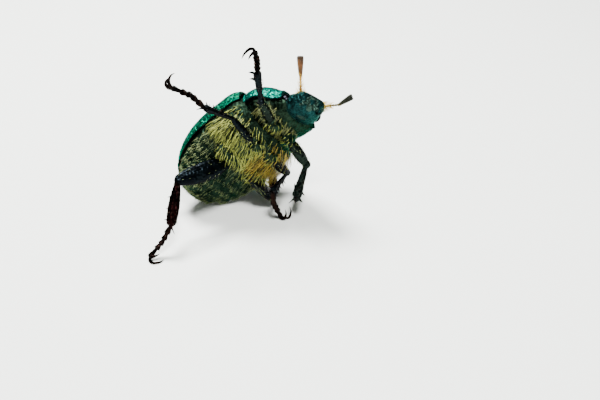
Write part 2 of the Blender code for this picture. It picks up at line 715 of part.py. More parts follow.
def leg_room(kinds):
    """Cutters that clear the hips and thighs of these legs by the gap."""
    room = []
    for leg in LEGS:
        kind, label = leg.split("_")
        if kind in kinds:
            room.append(hip(kind, 1 if label == "left" else -1, GAP))
            room.append(thigh(leg, GAP))
    return room


# Hair

def belly_point(x, angle):
    """Point on the thorax's underside; the angle runs from the left side round to the right."""
    rim = size_at(x, CASE_RIM) - GAP - 0.02
    y, z = arc(size_at(x, CASE_HALF_WIDTH) - RIM_INSET, rim, size_at(x, BELLY) - rim, BELLY_POWERS, 1,
               angle, angle)[0]
    return Vector((x, y, z))


def pro_belly_point(x, angle):
    ledge = size_at(x, PRO_RIM) - PRO_EDGE
    y, z = arc(size_at(x, PRO_HALF_WIDTH) - 0.35, ledge, size_at(x, PRO_BELLY) - ledge, PRO_BELLY_POWERS, 1,
               angle, angle)[0]
    return pro_point(x, y, z)


def lock(root, out, lie, length, lift):
    """Flat tapered lock: sunk in at the root, rising, then lying back along the body."""
    shape = ((0.0, -0.45), (0.15, 0.35), (0.5, 0.9), (0.8, 1.0), (1.0, 0.8))
    route = [root + lie * length * ahead + out * (lift * up if up > 0 else up) for ahead, up in shape]
    sizes = [(0.4, 0.26), (0.46, 0.26), (0.42, 0.22), (0.26, 0.15), (0.05, 0.04)]
    return limb("lock", route, sizes, lie.cross(out), 4)


def locks(surface, rows, columns, draw):
    """Rows of locks on an underside, staggered, lying back and a little towards the midline."""
    pieces = []
    for row, x in enumerate(rows):
        for column in range(columns):
            angle = math.pi * (0.1 + 0.8 * (column + 0.5 * (row % 2)) / (columns - 0.5))
            root = surface(x, angle)
            ahead = surface(x + 0.1, angle) - root
            across = surface(x, angle + 0.05) - surface(x, angle - 0.05)
            out = ahead.cross(across).normalized()
            if out.z > 0 and abs(root.y) < 3:
                out.negate()
            to_middle = Vector((0, -math.copysign(0.3, root.y), 0))
            lie = -ahead.normalized() + to_middle + Vector((0, draw.uniform(-0.25, 0.25), 0))
            lie = (lie - out * lie.dot(out)).normalized()
            pieces.append(lock(root, out, lie, LOCK_LENGTH * draw.uniform(0.85, 1.15),
                               LOCK_LIFT * draw.uniform(0.8, 1.2)))
    return pieces


# Finish

def give_material(obj):
    kind = obj.name.split("_")[0]
    material = bpy.data.materials.new(obj.name)
    material.use_nodes = True
    shader = material.node_tree.nodes["Principled BSDF"]
    shader.inputs["Base Color"].default_value = (*COLOURS[kind], 1.0)
    shader.inputs["Roughness"].default_value = 0.35
    shader.inputs["Metallic"].default_value = 0.6 if kind in ("elytron", "prothorax", "head") else 0.1
    obj.data.materials.clear()
    obj.data.materials.append(material)


def stand_on_floor(nodes):
    """Turns the nodes to the floor's frame, levels what touches it, and centres them over the origin."""
    lift = Matrix.Translation((0, 0, ORIGIN_HEIGHT))
    for node in nodes:
        node.data.transform(lift @ body_to_floor())
        if min(vertex.co.z for vertex in node.data.vertices) < 0:
            cut_by_plane(node, (0, 0, 0), (0, 0, -1))
    corners = [vertex.co for node in nodes for vertex in node.data.vertices]
    middle_x = (min(c.x for c in corners) + max(c.x for c in corners)) / 2
    middle_y = (min(c.y for c in corners) + max(c.y for c in corners)) / 2
    to_metres = Matrix.Scale(MM, 4) @ Matrix.Translation((-middle_x, -middle_y, 0))
    for node in nodes:
        node.data.transform(to_metres)


def main():
    for obj in list(bpy.data.objects):
        bpy.data.objects.remove(obj)
    thorax, abdomen, pygidium = make_trunk_nodes()
    cases, shield = make_cases()
    prothorax = make_prothorax()
    head, eyes = make_head()
    antennae = [make_antenna(1, "left"), make_antenna(-1, "right")]
    draw = random.Random(LOCK_SEED)
    boolean(thorax, locks(belly_point, THORAX_LOCK_ROWS, THORAX_LOCK_COLUMNS, draw), "UNION")
    boolean(prothorax, locks(pro_belly_point, PRO_LOCK_ROWS, PRO_LOCK_COLUMNS, draw), "UNION")
    boolean(thorax, leg_room(("middle", "hind")), "DIFFERENCE")
    boolean(abdomen, leg_room(("hind",)), "DIFFERENCE")
    boolean(prothorax, leg_room(("front",)) + head_room(), "DIFFERENCE")
    nodes = [thorax, abdomen, pygidium, *cases, shield, prothorax, head, *eyes, *antennae, *make_legs()]
    stand_on_floor(nodes)
    collection = bpy.data.collections.new("leaf_chafer")
    bpy.context.scene.collection.children.link(collection)
    holder = bpy.data.objects.new("beetle", None)
    collection.objects.link(holder)
    for node in nodes:
        bpy.context.scene.collection.objects.unlink(node)
        collection.objects.link(node)
        node.parent = holder
        give_material(node)
        node.data.shade_smooth()


main()
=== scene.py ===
"""Dresses the leaf chafer's solids: fine cuticle, faceted eyes, mouthparts, spines and hair.

Body pieces are drawn in the body's frame, in millimetres: x forward, y to the
beetle's left, z up through its back. Leg joints are given in the viewer's frame:
x right, y up, z towards the viewer. Sizes are those of the solids, but for the back
of the head, the eyes, the tail plate, and the legs in the two tables of exceptions.
"""
import math
import random

import bmesh
import bpy
from mathutils import Matrix, Vector, noise


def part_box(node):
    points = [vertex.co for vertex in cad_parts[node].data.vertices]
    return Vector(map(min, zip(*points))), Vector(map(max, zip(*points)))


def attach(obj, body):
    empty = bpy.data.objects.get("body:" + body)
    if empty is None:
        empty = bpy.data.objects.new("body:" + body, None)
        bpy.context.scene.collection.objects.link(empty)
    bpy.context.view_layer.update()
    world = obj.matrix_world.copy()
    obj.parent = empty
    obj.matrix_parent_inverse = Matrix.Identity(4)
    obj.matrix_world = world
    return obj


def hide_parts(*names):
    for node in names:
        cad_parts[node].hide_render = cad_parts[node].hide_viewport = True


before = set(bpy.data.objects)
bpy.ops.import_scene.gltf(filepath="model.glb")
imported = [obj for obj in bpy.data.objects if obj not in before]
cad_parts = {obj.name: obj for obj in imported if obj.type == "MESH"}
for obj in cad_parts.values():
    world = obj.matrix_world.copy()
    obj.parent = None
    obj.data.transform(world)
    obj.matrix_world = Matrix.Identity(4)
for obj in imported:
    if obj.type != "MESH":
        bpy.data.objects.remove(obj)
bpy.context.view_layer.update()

MM = 0.001

# Attitude of the body, and the view, in degrees
PITCH_UP = 41.5
ROLL_TO_LEFT = 79.0
HEADING = 4.2
VIEW_ELEVATION = 30.0
BODY_PLACE = Vector((-0.7, 0.85, 0.0))

# Camera: distance in metres, pixels a millimetre, and where the viewer's origin falls in the picture
CAMERA_DISTANCE = 0.09
PIXELS_PER_MM = 9.4
PICTURE = (600, 400)
ORIGIN_PIXEL = (255.05, 141.5)
SENSOR_WIDTH = 36.0

# Profiles of the body along x, as (x, size) stations
CASE_HALF_WIDTH = [(-8.1, 2.4), (-7.4, 3.4), (-6.2, 4.25), (-4.4, 4.85), (-2.4, 5.08),
                   (0.0, 4.95), (1.8, 4.7), (2.45, 4.35)]
CASE_TOP = [(-8.1, -0.5), (-7.4, 0.9), (-6.2, 1.85), (-4.4, 2.7), (-2.0, 3.15),
            (0.0, 3.15), (1.6, 2.95), (2.45, 2.75)]
CASE_RIM = [(-8.1, -1.7), (-6.5, -1.35), (-4.0, -0.95), (0.0, -0.6), (2.45, -0.3)]
BELLY = [(-8.1, -2.95), (-6.8, -3.4), (-5.0, -3.6), (-3.0, -3.7), (-1.5, -3.8),
         (0.5, -4.0), (1.6, -3.8), (2.45, -3.3)]
CASE_THICKNESS = 0.3
CORE_INSET = 0.75
RIM_INSET = 0.15
RIM_STEP = 0.2
CASE_POWERS = (0.7, 0.92)
BELLY_POWERS = (0.8, 0.8)
PRO_POWERS = (0.75, 0.95)
PRO_BELLY_POWERS = (1.1, 1.1)
HEAD_POWERS = (0.85, 0.85)
ABDOMEN_END = -8.1
THORAX_FRONT = 2.45
WAIST = -1.5
PLATE_EDGES = (WAIST, -2.9, -4.0, -5.1, -6.2, -7.2, ABDOMEN_END - 0.6)
PLATE_STEP = 0.13
TAIL_INSET = 0.9
TAIL_INSET_LENGTH = 1.7
TAIL_END = (-8.72, -2.2)
PYGIDIUM_CENTRE = (-7.85, 0.0, -1.75)
PYGIDIUM_RADII = (0.9, 2.35, 1.15)
SCUTELLUM_REAR = 0.7
SCUTELLUM_HALF_WIDTH = 1.15
SCUTELLUM_THICKNESS = 0.5
SCUTELLUM_RISE = 0.15
SCUTELLUM_DOME = 0.1
SEAM = 0.035
# How far the small shield laps over the notch between the wing cases
SHIELD_LAP = 0.09

PRO_REAR = 2.5
PRO_FRONT = 6.4
STERNUM_FRONT = 6.75
PRO_HALF_WIDTH = [(2.8, 3.85), (3.6, 3.9), (4.8, 3.6), (5.9, 3.1), (6.8, 2.7)]
PRO_TOP = [(2.8, 2.4), (4.0, 2.1), (5.4, 1.5), (6.8, 0.75)]
PRO_RIM = [(2.8, -0.6), (4.5, -0.85), (6.8, -1.15)]
PRO_BELLY = [(2.8, -2.8), (4.2, -2.85), (5.5, -2.5), (6.8, -1.9)]
PRO_EDGE = 0.3
PRO_THICKNESS = 0.3
PRO_BELLY_INSET = 0.35
PRO_CORNER_REACH = 0.6
PRO_BEND = 25.0
BEND_START = 2.8
BEND_LENGTH = 3.0
NECK = Vector((BEND_START, 0.0, -0.5))

HEAD_HALF_WIDTH = [(6.0, 2.1), (6.8, 2.2), (7.7, 1.92), (8.4, 1.7), (9.0, 1.6), (9.3, 1.25)]
HEAD_TOP = [(6.0, 0.7), (6.8, 0.55), (7.7, 0.15), (8.4, -0.35), (9.0, -0.85), (9.3, -1.15)]
HEAD_BELLY = [(6.0, -1.7), (6.8, -2.15), (7.7, -2.4), (8.4, -2.35), (9.0, -1.85), (9.3, -1.6)]
NAPE = Vector((6.6, 0.0, -0.7))
HEAD_PITCH = -16.0
HEAD_YAW = -17.0
EYE_CENTRE = (7.05, 1.8, -0.85)
EYE_RADII = (0.68, 0.66, 0.64)
ANTENNA_ROOT = (8.15, 1.4, -1.5)
# How each feeler points and spreads in the viewer's frame, and its sizes; bristled is a share of the stalk
ANTENNAE = {
    "left": {"ahead": (1.0, 0.12, -0.05), "spread": (0.0, 1.0, 0.0), "shift": (-0.1, 0.42, 0.0),
             "club_ahead": (0.82, 0.5, 0.0), "stalk": 2.15, "club": 1.5, "leaf_spread": 0.09,
             "leaf_width": 0.85, "bristled": 0.55},
    "right": {"ahead": (-0.01, 1.0, -0.05), "spread": (1.0, 0.0, 0.0), "shift": (0.5, -0.1, 0.0),
              "club_ahead": (-0.01, 1.0, -0.05), "stalk": 2.4, "club": 1.9, "leaf_spread": 0.06,
              "leaf_width": 1.0, "bristled": 1.0},
}
STALK_SUNK = 0.25
# Length as a share of the stalk, and radius, of each of its joints
STALK_JOINTS = ((0.38, 0.23), (0.1, 0.16), (0.14, 0.14), (0.12, 0.13), (0.1, 0.13), (0.1, 0.14), (0.06, 0.17))

# Half width and half thickness of one leaf of the club along its length
CLUB_LEAF = [(0.0, 0.08, 0.12), (0.12, 0.12, 0.2), (0.5, 0.16, 0.3), (0.88, 0.17, 0.32), (0.96, 0.14, 0.27),
             (1.0, 0.05, 0.12)]

HIPS = {
    "front": ((4.0, 1.2, -2.9), (0.75, 1.0, 0.95)),
    "middle": ((0.9, 1.15, -3.75), (0.75, 1.0, 0.75)),
    "hind": ((-1.9, 1.95, -3.4), (0.85, 1.85, 0.8)),
}
THIGH_ROOT = {"front": (4.0, 1.2, -3.2), "middle": (0.9, 1.1, -4.0), "hind": (-2.35, 1.3, -3.75)}
LEGS = {
    "front_right": {"knee": (0.6, 3.9, 6.5), "ankle": (0.2, 6.7, 8.4),
                    "foot": ((0.2, 7.6, 9.7), (0.0, 8.3, 11.0))},
    "front_left": {"knee": (5.35, -2.4, 1.6), "ankle": (4.3, -5.8, 1.9),
                   "foot": ((4.35, -6.1, 0.3), (4.5, -5.9, -1.4))},
    "middle_right": {"knee": (-2.2, 2.25, 6.2), "ankle": (-4.8, 3.2, 9.3),
                     "foot": ((-6.0, 4.3, 11.0), (-7.6, 4.9, 12.6))},
    "middle_left": {"knee": (3.45, -3.3, 0.4), "ankle": (1.8, -5.1, 3.2),
                    "foot": ((1.9, -6.4, 2.3), (2.7, -7.88, 0.55))},
    "hind_right": {"knee": (-7.7, -3.9, 5.6), "ankle": (-8.3, -8.3, 6.7),
                   "foot": ((-9.1, -9.85, 6.6), (-10.3, -11.28, 6.6))},
    "hind_left": {"knee": (2.0, -6.1, -1.3), "ankle": (2.0, -3.8, -5.4),
                  "foot": ((1.7, -3.2, -7.3), (1.2, -2.3, -9.15))},
}
THIGH_SIZE = {"front": (0.62, 0.48), "middle": (0.62, 0.48), "hind": (1.02, 0.55)}
# A shin that looks broader in the picture than its solid, and two thighs that look slimmer
SHIN_WIDENING = {"front_left": 1.3}
THIGH_SLIMMING = {"front_right": 0.78, "middle_right": 0.74}
# Shapes of the limbs, as (share of the length, share of the size) stations
THIGH_STATIONS = [(0.0, 0.5), (0.12, 0.6), (0.25, 0.9), (0.45, 1.0), (0.7, 0.92), (0.88, 0.66), (0.96, 0.5),
                  (1.0, 0.2)]
SLIM_SHIN = [(0.0, 0.3), (0.04, 0.6), (0.12, 0.58), (0.3, 0.7), (0.55, 0.82), (0.85, 1.0), (0.97, 0.98),
             (1.0, 0.75)]
SWOLLEN_SHIN = [(0.0, 0.35), (0.05, 0.6), (0.16, 0.72), (0.35, 0.98), (0.6, 1.1), (0.85, 1.02), (0.96, 0.88),
                (1.0, 0.6)]
SHIN_STATIONS = {"front": SLIM_SHIN, "middle": SLIM_SHIN, "hind": SWOLLEN_SHIN}
SHIN_SIZE = {"front": (0.42, 0.3), "middle": (0.36, 0.3), "hind": (0.52, 0.4)}
KNEE_REACH = 0.35
KNEE_SWELL = 1.2
FOOT_RADIUS = 0.28
FOOT_JOINTS = (0.0, 0.24, 0.42, 0.58, 0.74, 1.0)
# Shapes of a foot's joints and claws, as (share of the length, half width, half thickness)
FOOT_CUP = [(0.0, 0.6, 0.6), (0.3, 0.8, 0.8), (0.8, 1.15, 1.1), (0.95, 1.2, 1.1), (1.0, 0.8, 0.8)]
FOOT_LAST = [(0.0, 0.6, 0.6), (0.5, 0.8, 0.8), (0.9, 1.0, 1.0), (1.0, 0.7, 0.7)]
CLAW_LENGTH = 1.3
CLAW_PROFILE = [(0.0, 0.16, 0.16), (0.3, 0.18, 0.15), (0.7, 0.12, 0.1), (1.0, 0.012, 0.012)]
# Curve of a claw: shares of its length ahead, millimetres to the side, shares of its length in its curl
CLAW_CURVE = ((0.0, 0.0, 0.0), (0.4, 0.15, -0.02), (0.68, 0.22, 0.28), (0.55, 0.25, 0.75), (0.2, 0.25, 1.05))
# Directions, in the viewer's frame, in which the claws of two feet leave the foot and curl
CLAW_LIE = {
    "hind_right": ((-0.15, -0.5, 0.87), (0.95, 0.15, -0.1)),
    "middle_left": ((0.6, -0.5, 0.2), (0.5, 0.9, 0.3)),
}
SPINE_SHARES = {"front": (0.72, 0.93), "middle": (0.35, 0.62, 0.86), "hind": (0.3, 0.55, 0.8)}
SPINE_LENGTH = {"front": 0.75, "middle": 0.5, "hind": 0.5}
SPUR_LENGTH = 0.95
SIDES = ((1, "left"), (-1, "right"))


# Small maths

def size_at(x, stations):
    """Smooth curve through the stations, read at x."""
    if x <= stations[0][0]:
        return stations[0][1]
    if x >= stations[-1][0]:
        return stations[-1][1]
    index = max(i for i, station in enumerate(stations[:-1]) if station[0] <= x)
    slopes = []
    for k in (index, index + 1):
        before = stations[max(k - 1, 0)]
        after = stations[min(k + 1, len(stations) - 1)]
        slopes.append((after[1] - before[1]) / (after[0] - before[0]))
    (x0, y0), (x1, y1) = stations[index], stations[index + 1]
    span = x1 - x0
    t = (x - x0) / span
    return ((2 * t**3 - 3 * t**2 + 1) * y0 + (t**3 - 2 * t**2 + t) * span * slopes[0]
            + (3 * t**2 - 2 * t**3) * y1 + (t**3 - t**2) * span * slopes[1])


def smooth_step(value):
    value = min(max(value, 0.0), 1.0)
    return value * value * (3 - 2 * value)


def steps(start, end, count):
    return [start + (end - start) * i / count for i in range(count + 1)]


def bump_at(value, centre, width):
    return math.exp(-((value - centre) / width) ** 2)


def curve_point(points, t):
    """Smooth curve through the points, t from 0 to 1."""
    span = (len(points) - 1) * min(max(t, 0.0), 1.0)
    index = min(int(span), len(points) - 2)
    t = span - index
    p1, p2 = points[index], points[index + 1]
    p0 = points[index - 1] if index else p1 * 2 - p2
    p3 = points[index + 2] if index + 2 < len(points) else p2 * 2 - p1
    return ((p1 * 2) + (p2 - p0) * t + (p0 * 2 - p1 * 5 + p2 * 4 - p3) * t * t
            + (p1 * 3 - p0 - p2 * 3 + p3) * t**3) * 0.5


# Frames

def viewer_to_floor():
    return Matrix.Rotation(math.radians(90 - VIEW_ELEVATION), 4, "X")


def body_turn():
    return (Matrix.Rotation(math.radians(HEADING), 4, "Z") @ Matrix.Rotation(math.radians(-PITCH_UP), 4, "Y")
            @ Matrix.Rotation(math.radians(-ROLL_TO_LEFT), 4, "X"))


def bent(point):
    """Bends a point of the prothorax down with its distance from the neck."""
    point = Vector(point)
    angle = math.radians(PRO_BEND) * smooth_step((point.x - BEND_START) / BEND_LENGTH)
    return Matrix.Rotation(angle, 3, "Y") @ (point - NECK) + NECK


def head_matrix():
    bend = Matrix.Rotation(math.radians(PRO_BEND), 4, "Y")
    turn = Matrix.Rotation(math.radians(HEAD_YAW), 4, "Z") @ Matrix.Rotation(math.radians(HEAD_PITCH), 4, "Y")
    return (Matrix.Translation(NECK) @ bend @ Matrix.Translation(NAPE - NECK) @ turn
            @ Matrix.Translation(-NAPE))


BODY_TO_FLOOR = Matrix.Translation(viewer_to_floor() @ BODY_PLACE) @ body_turn()
VIEWER_TO_BODY = BODY_TO_FLOOR.inverted() @ viewer_to_floor()
HEAD = head_matrix()
DOWN = BODY_TO_FLOOR.to_3x3().inverted() @ Vector((0, 0, -1))


def head_point(x, y, z):
    return HEAD @ Vector((x, y, z))


def floor_origin():
    """Place of the viewer's origin over the floor, found from the solid of the left eye."""
    low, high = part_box("eye_left")
    middle = (Vector(low) + Vector(high)) / 2
    return middle - (BODY_TO_FLOOR @ head_point(*EYE_CENTRE)) * MM


ORIGIN = floor_origin()
BODY_TO_WORLD = Matrix.Translation(ORIGIN) @ Matrix.Scale(MM, 4) @ BODY_TO_FLOOR


# Mesh helpers

def new_object(name, mesh):
    obj = bpy.data.objects.new(name, mesh)
    bpy.context.scene.collection.objects.link(obj)
    return obj


def skin(name, rows, wrap=True):
    """Surface through rows of points; a wrapped one closes on a middle point at each end."""
    points = [Vector(point) for row in rows for point in row]
    count = len(rows[0])
    faces = []
    for r in range(len(rows) - 1):
        for i in range(count if wrap else count - 1):
            j = (i + 1) % count
            faces.append((r * count + i, r * count + j, (r + 1) * count + j, (r + 1) * count + i))
    for first in (0, (len(rows) - 1) * count) if wrap else ():
        pole = len(points)
        points.append(sum((points[first + i] for i in range(count)), Vector()) / count)
        faces += [(first + i, first + (i + 1) % count, pole) for i in range(count)]
    mesh = bpy.data.meshes.new(name)
    mesh.from_pydata(points, [], faces)
    return tidy(new_object(name, mesh))


def tidy(obj):
    bm = bmesh.new()
    bm.from_mesh(obj.data)
    bmesh.ops.recalc_face_normals(bm, faces=bm.faces)
    bm.to_mesh(obj.data)
    bm.free()
    obj.data.shade_smooth()
    return obj


def relief(obj, depth_at):
    """Moves each point along its normal by depth_at(point)."""
    normals = [v.normal.copy() for v in obj.data.vertices]
    for v, normal in zip(obj.data.vertices, normals):
        v.co += normal * depth_at(v.co)
    obj.data.update()
    return obj


def ball(centre, radii, turn=None, segments=24, rings=16):
    """Rows of an ellipsoid with its poles along the first axis of its turn."""
    turn = turn or Matrix.Identity(3)
    rows = []
    for theta in steps(0.0, math.pi, rings):
        radius = max(math.sin(theta), 0.02)
        rows.append([Vector(centre) + turn @ Vector((radii[0] * math.cos(theta),
                                                     radii[1] * radius * math.cos(math.tau * k / segments),
                                                     radii[2] * radius * math.sin(math.tau * k / segments)))
                     for k in range(segments)])
    return rows


def tube(route, sizes, side, sides, ridges=0.0, ridge_count=0):
    """Rows round a route; sizes are half widths along side and half thicknesses."""
    rows = []
    for i, point in enumerate(route):
        along = (route[min(i + 1, len(route) - 1)] - route[max(i - 1, 0)]).normalized()
        width_axis = (side - along * side.dot(along)).normalized()
        depth_axis = along.cross(width_axis)
        half_width, half_depth = sizes[i]
        row = []
        for k in range(sides):
            angle = math.tau * k / sides
            swell = 1 + ridges * math.cos(ridge_count * angle)
            row.append(point + width_axis * math.cos(angle) * half_width * swell
                       + depth_axis * math.sin(angle) * half_depth * swell)
        rows.append(row)
    return rows


def sized(stations, half_width, half_depth=None):
    """Profile from stations of (share, size) or (share, width, thickness), as parts of the half sizes."""
    half_depth = half_depth or half_width
    return [(share, half_width * sizes[0], half_depth * sizes[-1]) for share, *sizes in stations]


def profile_tube(points, profile, side, rings, sides, **ridges):
    """Tube along a smooth curve; profile gives (share, half width, half thickness) stations."""
    route = [curve_point(points, t) for t in steps(0.0, 1.0, rings)]
    widths = [(s, w) for s, w, d in profile]
    depths = [(s, d) for s, w, d in profile]
    sizes = [(size_at(t, widths), size_at(t, depths)) for t in steps(0.0, 1.0, rings)]
    return tube(route, sizes, side, sides, **ridges)


def joined(name, parts):
    """One object from several."""
    bm = bmesh.new()
    for part in parts:
        bm.from_mesh(part.data)
        bpy.data.objects.remove(part)
    mesh = bpy.data.meshes.new(name)
    bm.to_mesh(mesh)
    bm.free()
    mesh.shade_smooth()
    return new_object(name, mesh)


def arc_point(half_width, base, height, powers, angle):
    """Point of a half ellipse, with the angle from the left side; powers under 1 square it off."""
    c, s = math.cos(angle), math.sin(angle)
    return half_width * math.copysign(abs(c) ** powers[0], c), base + height * abs(s) ** powers[1]


def arc(half_width, base, height, powers, count, start=0.0, end=math.pi):
    return [arc_point(half_width, base, height, powers, angle) for angle in steps(start, end, count)]


def face_up(obj, index):
    """Turns a shell over if its face with that index looks down."""
    if obj.data.polygons[index].normal.z < 0:
        obj.data.flip_normals()


def thicken(obj, thickness, outside, inside):
    """Gives a shell its thickness inwards, with its own look for the rim and the inner side."""
    obj.data.materials.append(outside)
    obj.data.materials.append(inside)
    solidify = obj.modifiers.new("thickness", "SOLIDIFY")
    solidify.thickness = thickness
    solidify.offset = -1.0
    solidify.material_offset = 1
    solidify.material_offset_rim = 1
    evaluated = obj.evaluated_get(bpy.context.evaluated_depsgraph_get())
    mesh = bpy.data.meshes.new_from_object(evaluated)
    obj.modifiers.clear()
    obj.data = mesh
    obj.data.shade_smooth()


def onto_floor(obj):
    """Takes a piece from the body's frame to the floor's, and keeps it above the floor."""
    obj.data.transform(BODY_TO_WORLD)
    for v in obj.data.vertices:
        v.co.z = max(v.co.z, 0.0)
    obj.data.update()


PIECES = []


def piece(obj, material, slot, *nodes):
    """Finishes a piece; nodes are the solids that it replaces."""
    onto_floor(obj)
    if not obj.data.materials:
        obj.data.materials.append(material)
    PIECES.append((obj, slot, nodes))


# Relief of the cuticle, in millimetres

def pits(point, per_mm, depth, size=0.55):
    """Round pits scattered over a surface."""
    distance = noise.voronoi(point * per_mm)[0][0]
    return -depth * max(0.0, 1 - (distance / size) ** 2)


def wrinkles(point, per_mm, depth):
    return depth * noise.fractal(point * per_mm, 0.8, 2.2, 3)


# Materials

# Heights in metres that the bumps of pits and of wrinkles stand for
PIT_HEIGHT = 0.0001
WRINKLE_HEIGHT = 0.00015


def wire(tree, target, inputs):
    """Sets each input of a node to a constant, or links it to another node's output."""
    for key, value in inputs.items():
        if isinstance(value, bpy.types.NodeSocket):
            tree.links.new(value, target.inputs[key])
        else:
            target.inputs[key].default_value = value


def node(tree, kind, inputs, **settings):
    made = tree.nodes.new(kind)
    for key, value in settings.items():
        setattr(made, key, value)
    wire(tree, made, inputs)
    return made


def ramp(tree, source, stops):
    """Colour ramp from a value, with stops of (place, colour)."""
    made = node(tree, "ShaderNodeValToRGB", {"Fac": source})
    while len(made.color_ramp.elements) < len(stops):
        made.color_ramp.elements.new(0.5)
    for element, (place, colour) in zip(made.color_ramp.elements, stops):
        element.position = place
        element.color = (*colour, 1.0)
    return made.outputs["Color"]


def new_material(name):
    material = bpy.data.materials.new(name)
    material.use_nodes = True
    return material, material.node_tree, material.node_tree.nodes["Principled BSDF"]


def noise_value(tree, place, scale, detail):
    inputs = {"Vector": place, "Scale": scale, "Detail": detail}
    return node(tree, "ShaderNodeTexNoise", inputs).outputs["Fac"]


def bump(tree, height, strength, distance, **before):
    inputs = {"Height": height, "Strength": strength, "Distance": distance, **before}
    return node(tree, "ShaderNodeBump", inputs).outputs["Normal"]


def cuticle(name, dark, light, tint=None, metallic=0.85, roughness=(0.2, 0.45), patch=700.0, pit=4500.0,
            pit_depth=0.5, wrinkle=3000.0, wrinkle_depth=0.3, specular=0.4, pit_shade_brightness=0.25,
            edge=(0.3, 0.55, 0.5)):
    """Cuticle: patches of two or three colours, pits darkened with painted shade, wrinkles, and an uneven
    gloss.

    The darkening in a pit, down to the brightness given for it, is painted shade; edge is the colour of
    reflections at a low angle.
    """
    material, tree, shader = new_material(name)
    coords = node(tree, "ShaderNodeTexCoord", {}).outputs["Object"]
    dots = node(tree, "ShaderNodeTexVoronoi", {"Vector": coords, "Scale": pit}).outputs["Distance"]
    folds = noise_value(tree, coords, wrinkle, 4.0)
    stops = [(0.38, dark), (0.6, light)]
    if tint:
        stops.append((0.72, tint))
    colour = ramp(tree, noise_value(tree, coords, patch, 6.0), stops)
    # Painted shade: the colour is darkened towards the middle of each pit
    painted_pit_shade = ramp(tree, dots, [(0.15, (pit_shade_brightness,) * 3), (0.5, (1.0, 1.0, 1.0))])
    mix = node(tree, "ShaderNodeMix", {"Factor": 0.9, "A": colour, "B": painted_pit_shade},
               data_type="RGBA", blend_type="MULTIPLY")
    gloss = node(tree, "ShaderNodeMapRange", {"Value": folds, "From Min": 0.3, "From Max": 0.7,
                                              "To Min": roughness[0], "To Max": roughness[1]})
    pitted = bump(tree, dots, pit_depth, PIT_HEIGHT)
    wire(tree, shader, {"Base Color": mix.outputs["Result"], "Roughness": gloss.outputs["Result"],
                        "Normal": bump(tree, folds, wrinkle_depth, WRINKLE_HEIGHT, Normal=pitted),
                        "Metallic": metallic, "Specular IOR Level": specular, "Specular Tint": (*edge, 1.0)})
    return material


def hair_material(name, dark, light):
    """Hair whose colour changes from root to root, read on the unwrap of the skin."""
    material, tree, shader = new_material(name)
    place = node(tree, "ShaderNodeUVMap", {}, uv_map="OFBake").outputs["UV"]
    colour = ramp(tree, noise_value(tree, place, 220.0, 3.0), [(0.4, dark), (0.6, light)])
    wire(tree, shader, {"Base Color": colour, "Roughness": 0.45, "Specular IOR Level": 0.3})
    return material


GREEN = cuticle(
    "green cuticle", (0.0, 0.045, 0.025), (0.0, 0.13, 0.065), (0.0, 0.22, 0.16), metallic=1.0,
    roughness=(0.22, 0.4), patch=1500.0, pit=4400.0, pit_depth=0.9, wrinkle=2400.0, wrinkle_depth=0.7,
    pit_shade_brightness=0.12)
TURQUOISE = cuticle(
    "turquoise cuticle", (0.0, 0.05, 0.035), (0.0, 0.17, 0.12), (0.02, 0.4, 0.36), metallic=1.0,
    roughness=(0.22, 0.45), patch=1700.0, pit=3600.0, pit_depth=1.0, wrinkle=2600.0, wrinkle_depth=0.9,
    pit_shade_brightness=0.05)
TEAL = cuticle(
    "teal cuticle", (0.003, 0.011, 0.011), (0.006, 0.032, 0.032), metallic=0.95, roughness=(0.24, 0.42),
    patch=1100.0, pit=4600.0, pit_depth=0.8, wrinkle_depth=0.7, pit_shade_brightness=0.15)
BELLY_GREEN = cuticle(
    "belly cuticle", (0.002, 0.005, 0.003), (0.01, 0.02, 0.012), metallic=1.0, roughness=(0.28, 0.5),
    patch=1200.0, pit=3600.0, pit_depth=0.9, wrinkle_depth=0.8, specular=0.3)
PYGIDIUM_GREEN = cuticle(
    "pygidium cuticle", (0.0, 0.012, 0.008), (0.002, 0.05, 0.03), metallic=1.0, roughness=(0.25, 0.42),
    patch=1200.0, pit=3900.0, pit_depth=0.8, wrinkle_depth=0.7)
THIGH_GREEN = cuticle(
    "front thigh cuticle", (0.0015, 0.003, 0.0025), (0.006, 0.011, 0.008), metallic=0.8,
    roughness=(0.16, 0.3), patch=900.0, pit=3600.0, pit_depth=0.6, edge=(0.3, 0.36, 0.3))
THIGH_BLACK = cuticle(
    "thigh cuticle", (0.0005, 0.001, 0.0015), (0.002, 0.004, 0.005), metallic=0.8, roughness=(0.14, 0.28),
    patch=900.0, pit=3600.0, pit_depth=0.4, wrinkle_depth=0.25, edge=(0.22, 0.26, 0.3))
SHIN_MAROON = cuticle(
    "shin cuticle", (0.001, 0.0005, 0.0005), (0.008, 0.002, 0.002), metallic=0.95, roughness=(0.15, 0.3),
    patch=1100.0, pit=3800.0, pit_depth=0.6, edge=(0.25, 0.12, 0.12))
FOOT_BLACK = cuticle(
    "foot cuticle", (0.001, 0.001, 0.001), (0.008, 0.004, 0.003), metallic=0.9, roughness=(0.16, 0.3),
    pit=7000.0, pit_depth=0.2, wrinkle_depth=0.2, specular=0.2, edge=(0.22, 0.16, 0.14))
STALK_BROWN = cuticle(
    "feeler stalk", (0.18, 0.08, 0.01), (0.4, 0.2, 0.03), metallic=0.0, roughness=(0.3, 0.5),
    pit=8000.0, pit_depth=0.3, pit_shade_brightness=0.7, edge=(1.0, 0.8, 0.5))
CLUB_BROWN = cuticle(
    "feeler club", (0.03, 0.01, 0.003), (0.11, 0.04, 0.01), metallic=0.0, roughness=(0.45, 0.65),
    pit=9000.0, pit_depth=0.4, wrinkle_depth=0.4, pit_shade_brightness=0.6)
# Darker copies of the feeler colours, for the left feeler: painted shade
STALK_IN_PAINTED_SHADE = cuticle(
    "shaded feeler stalk", (0.015, 0.01, 0.002), (0.05, 0.035, 0.006), metallic=0.0, roughness=(0.3, 0.5),
    pit=8000.0, pit_depth=0.3, pit_shade_brightness=0.7, edge=(0.8, 0.7, 0.4))
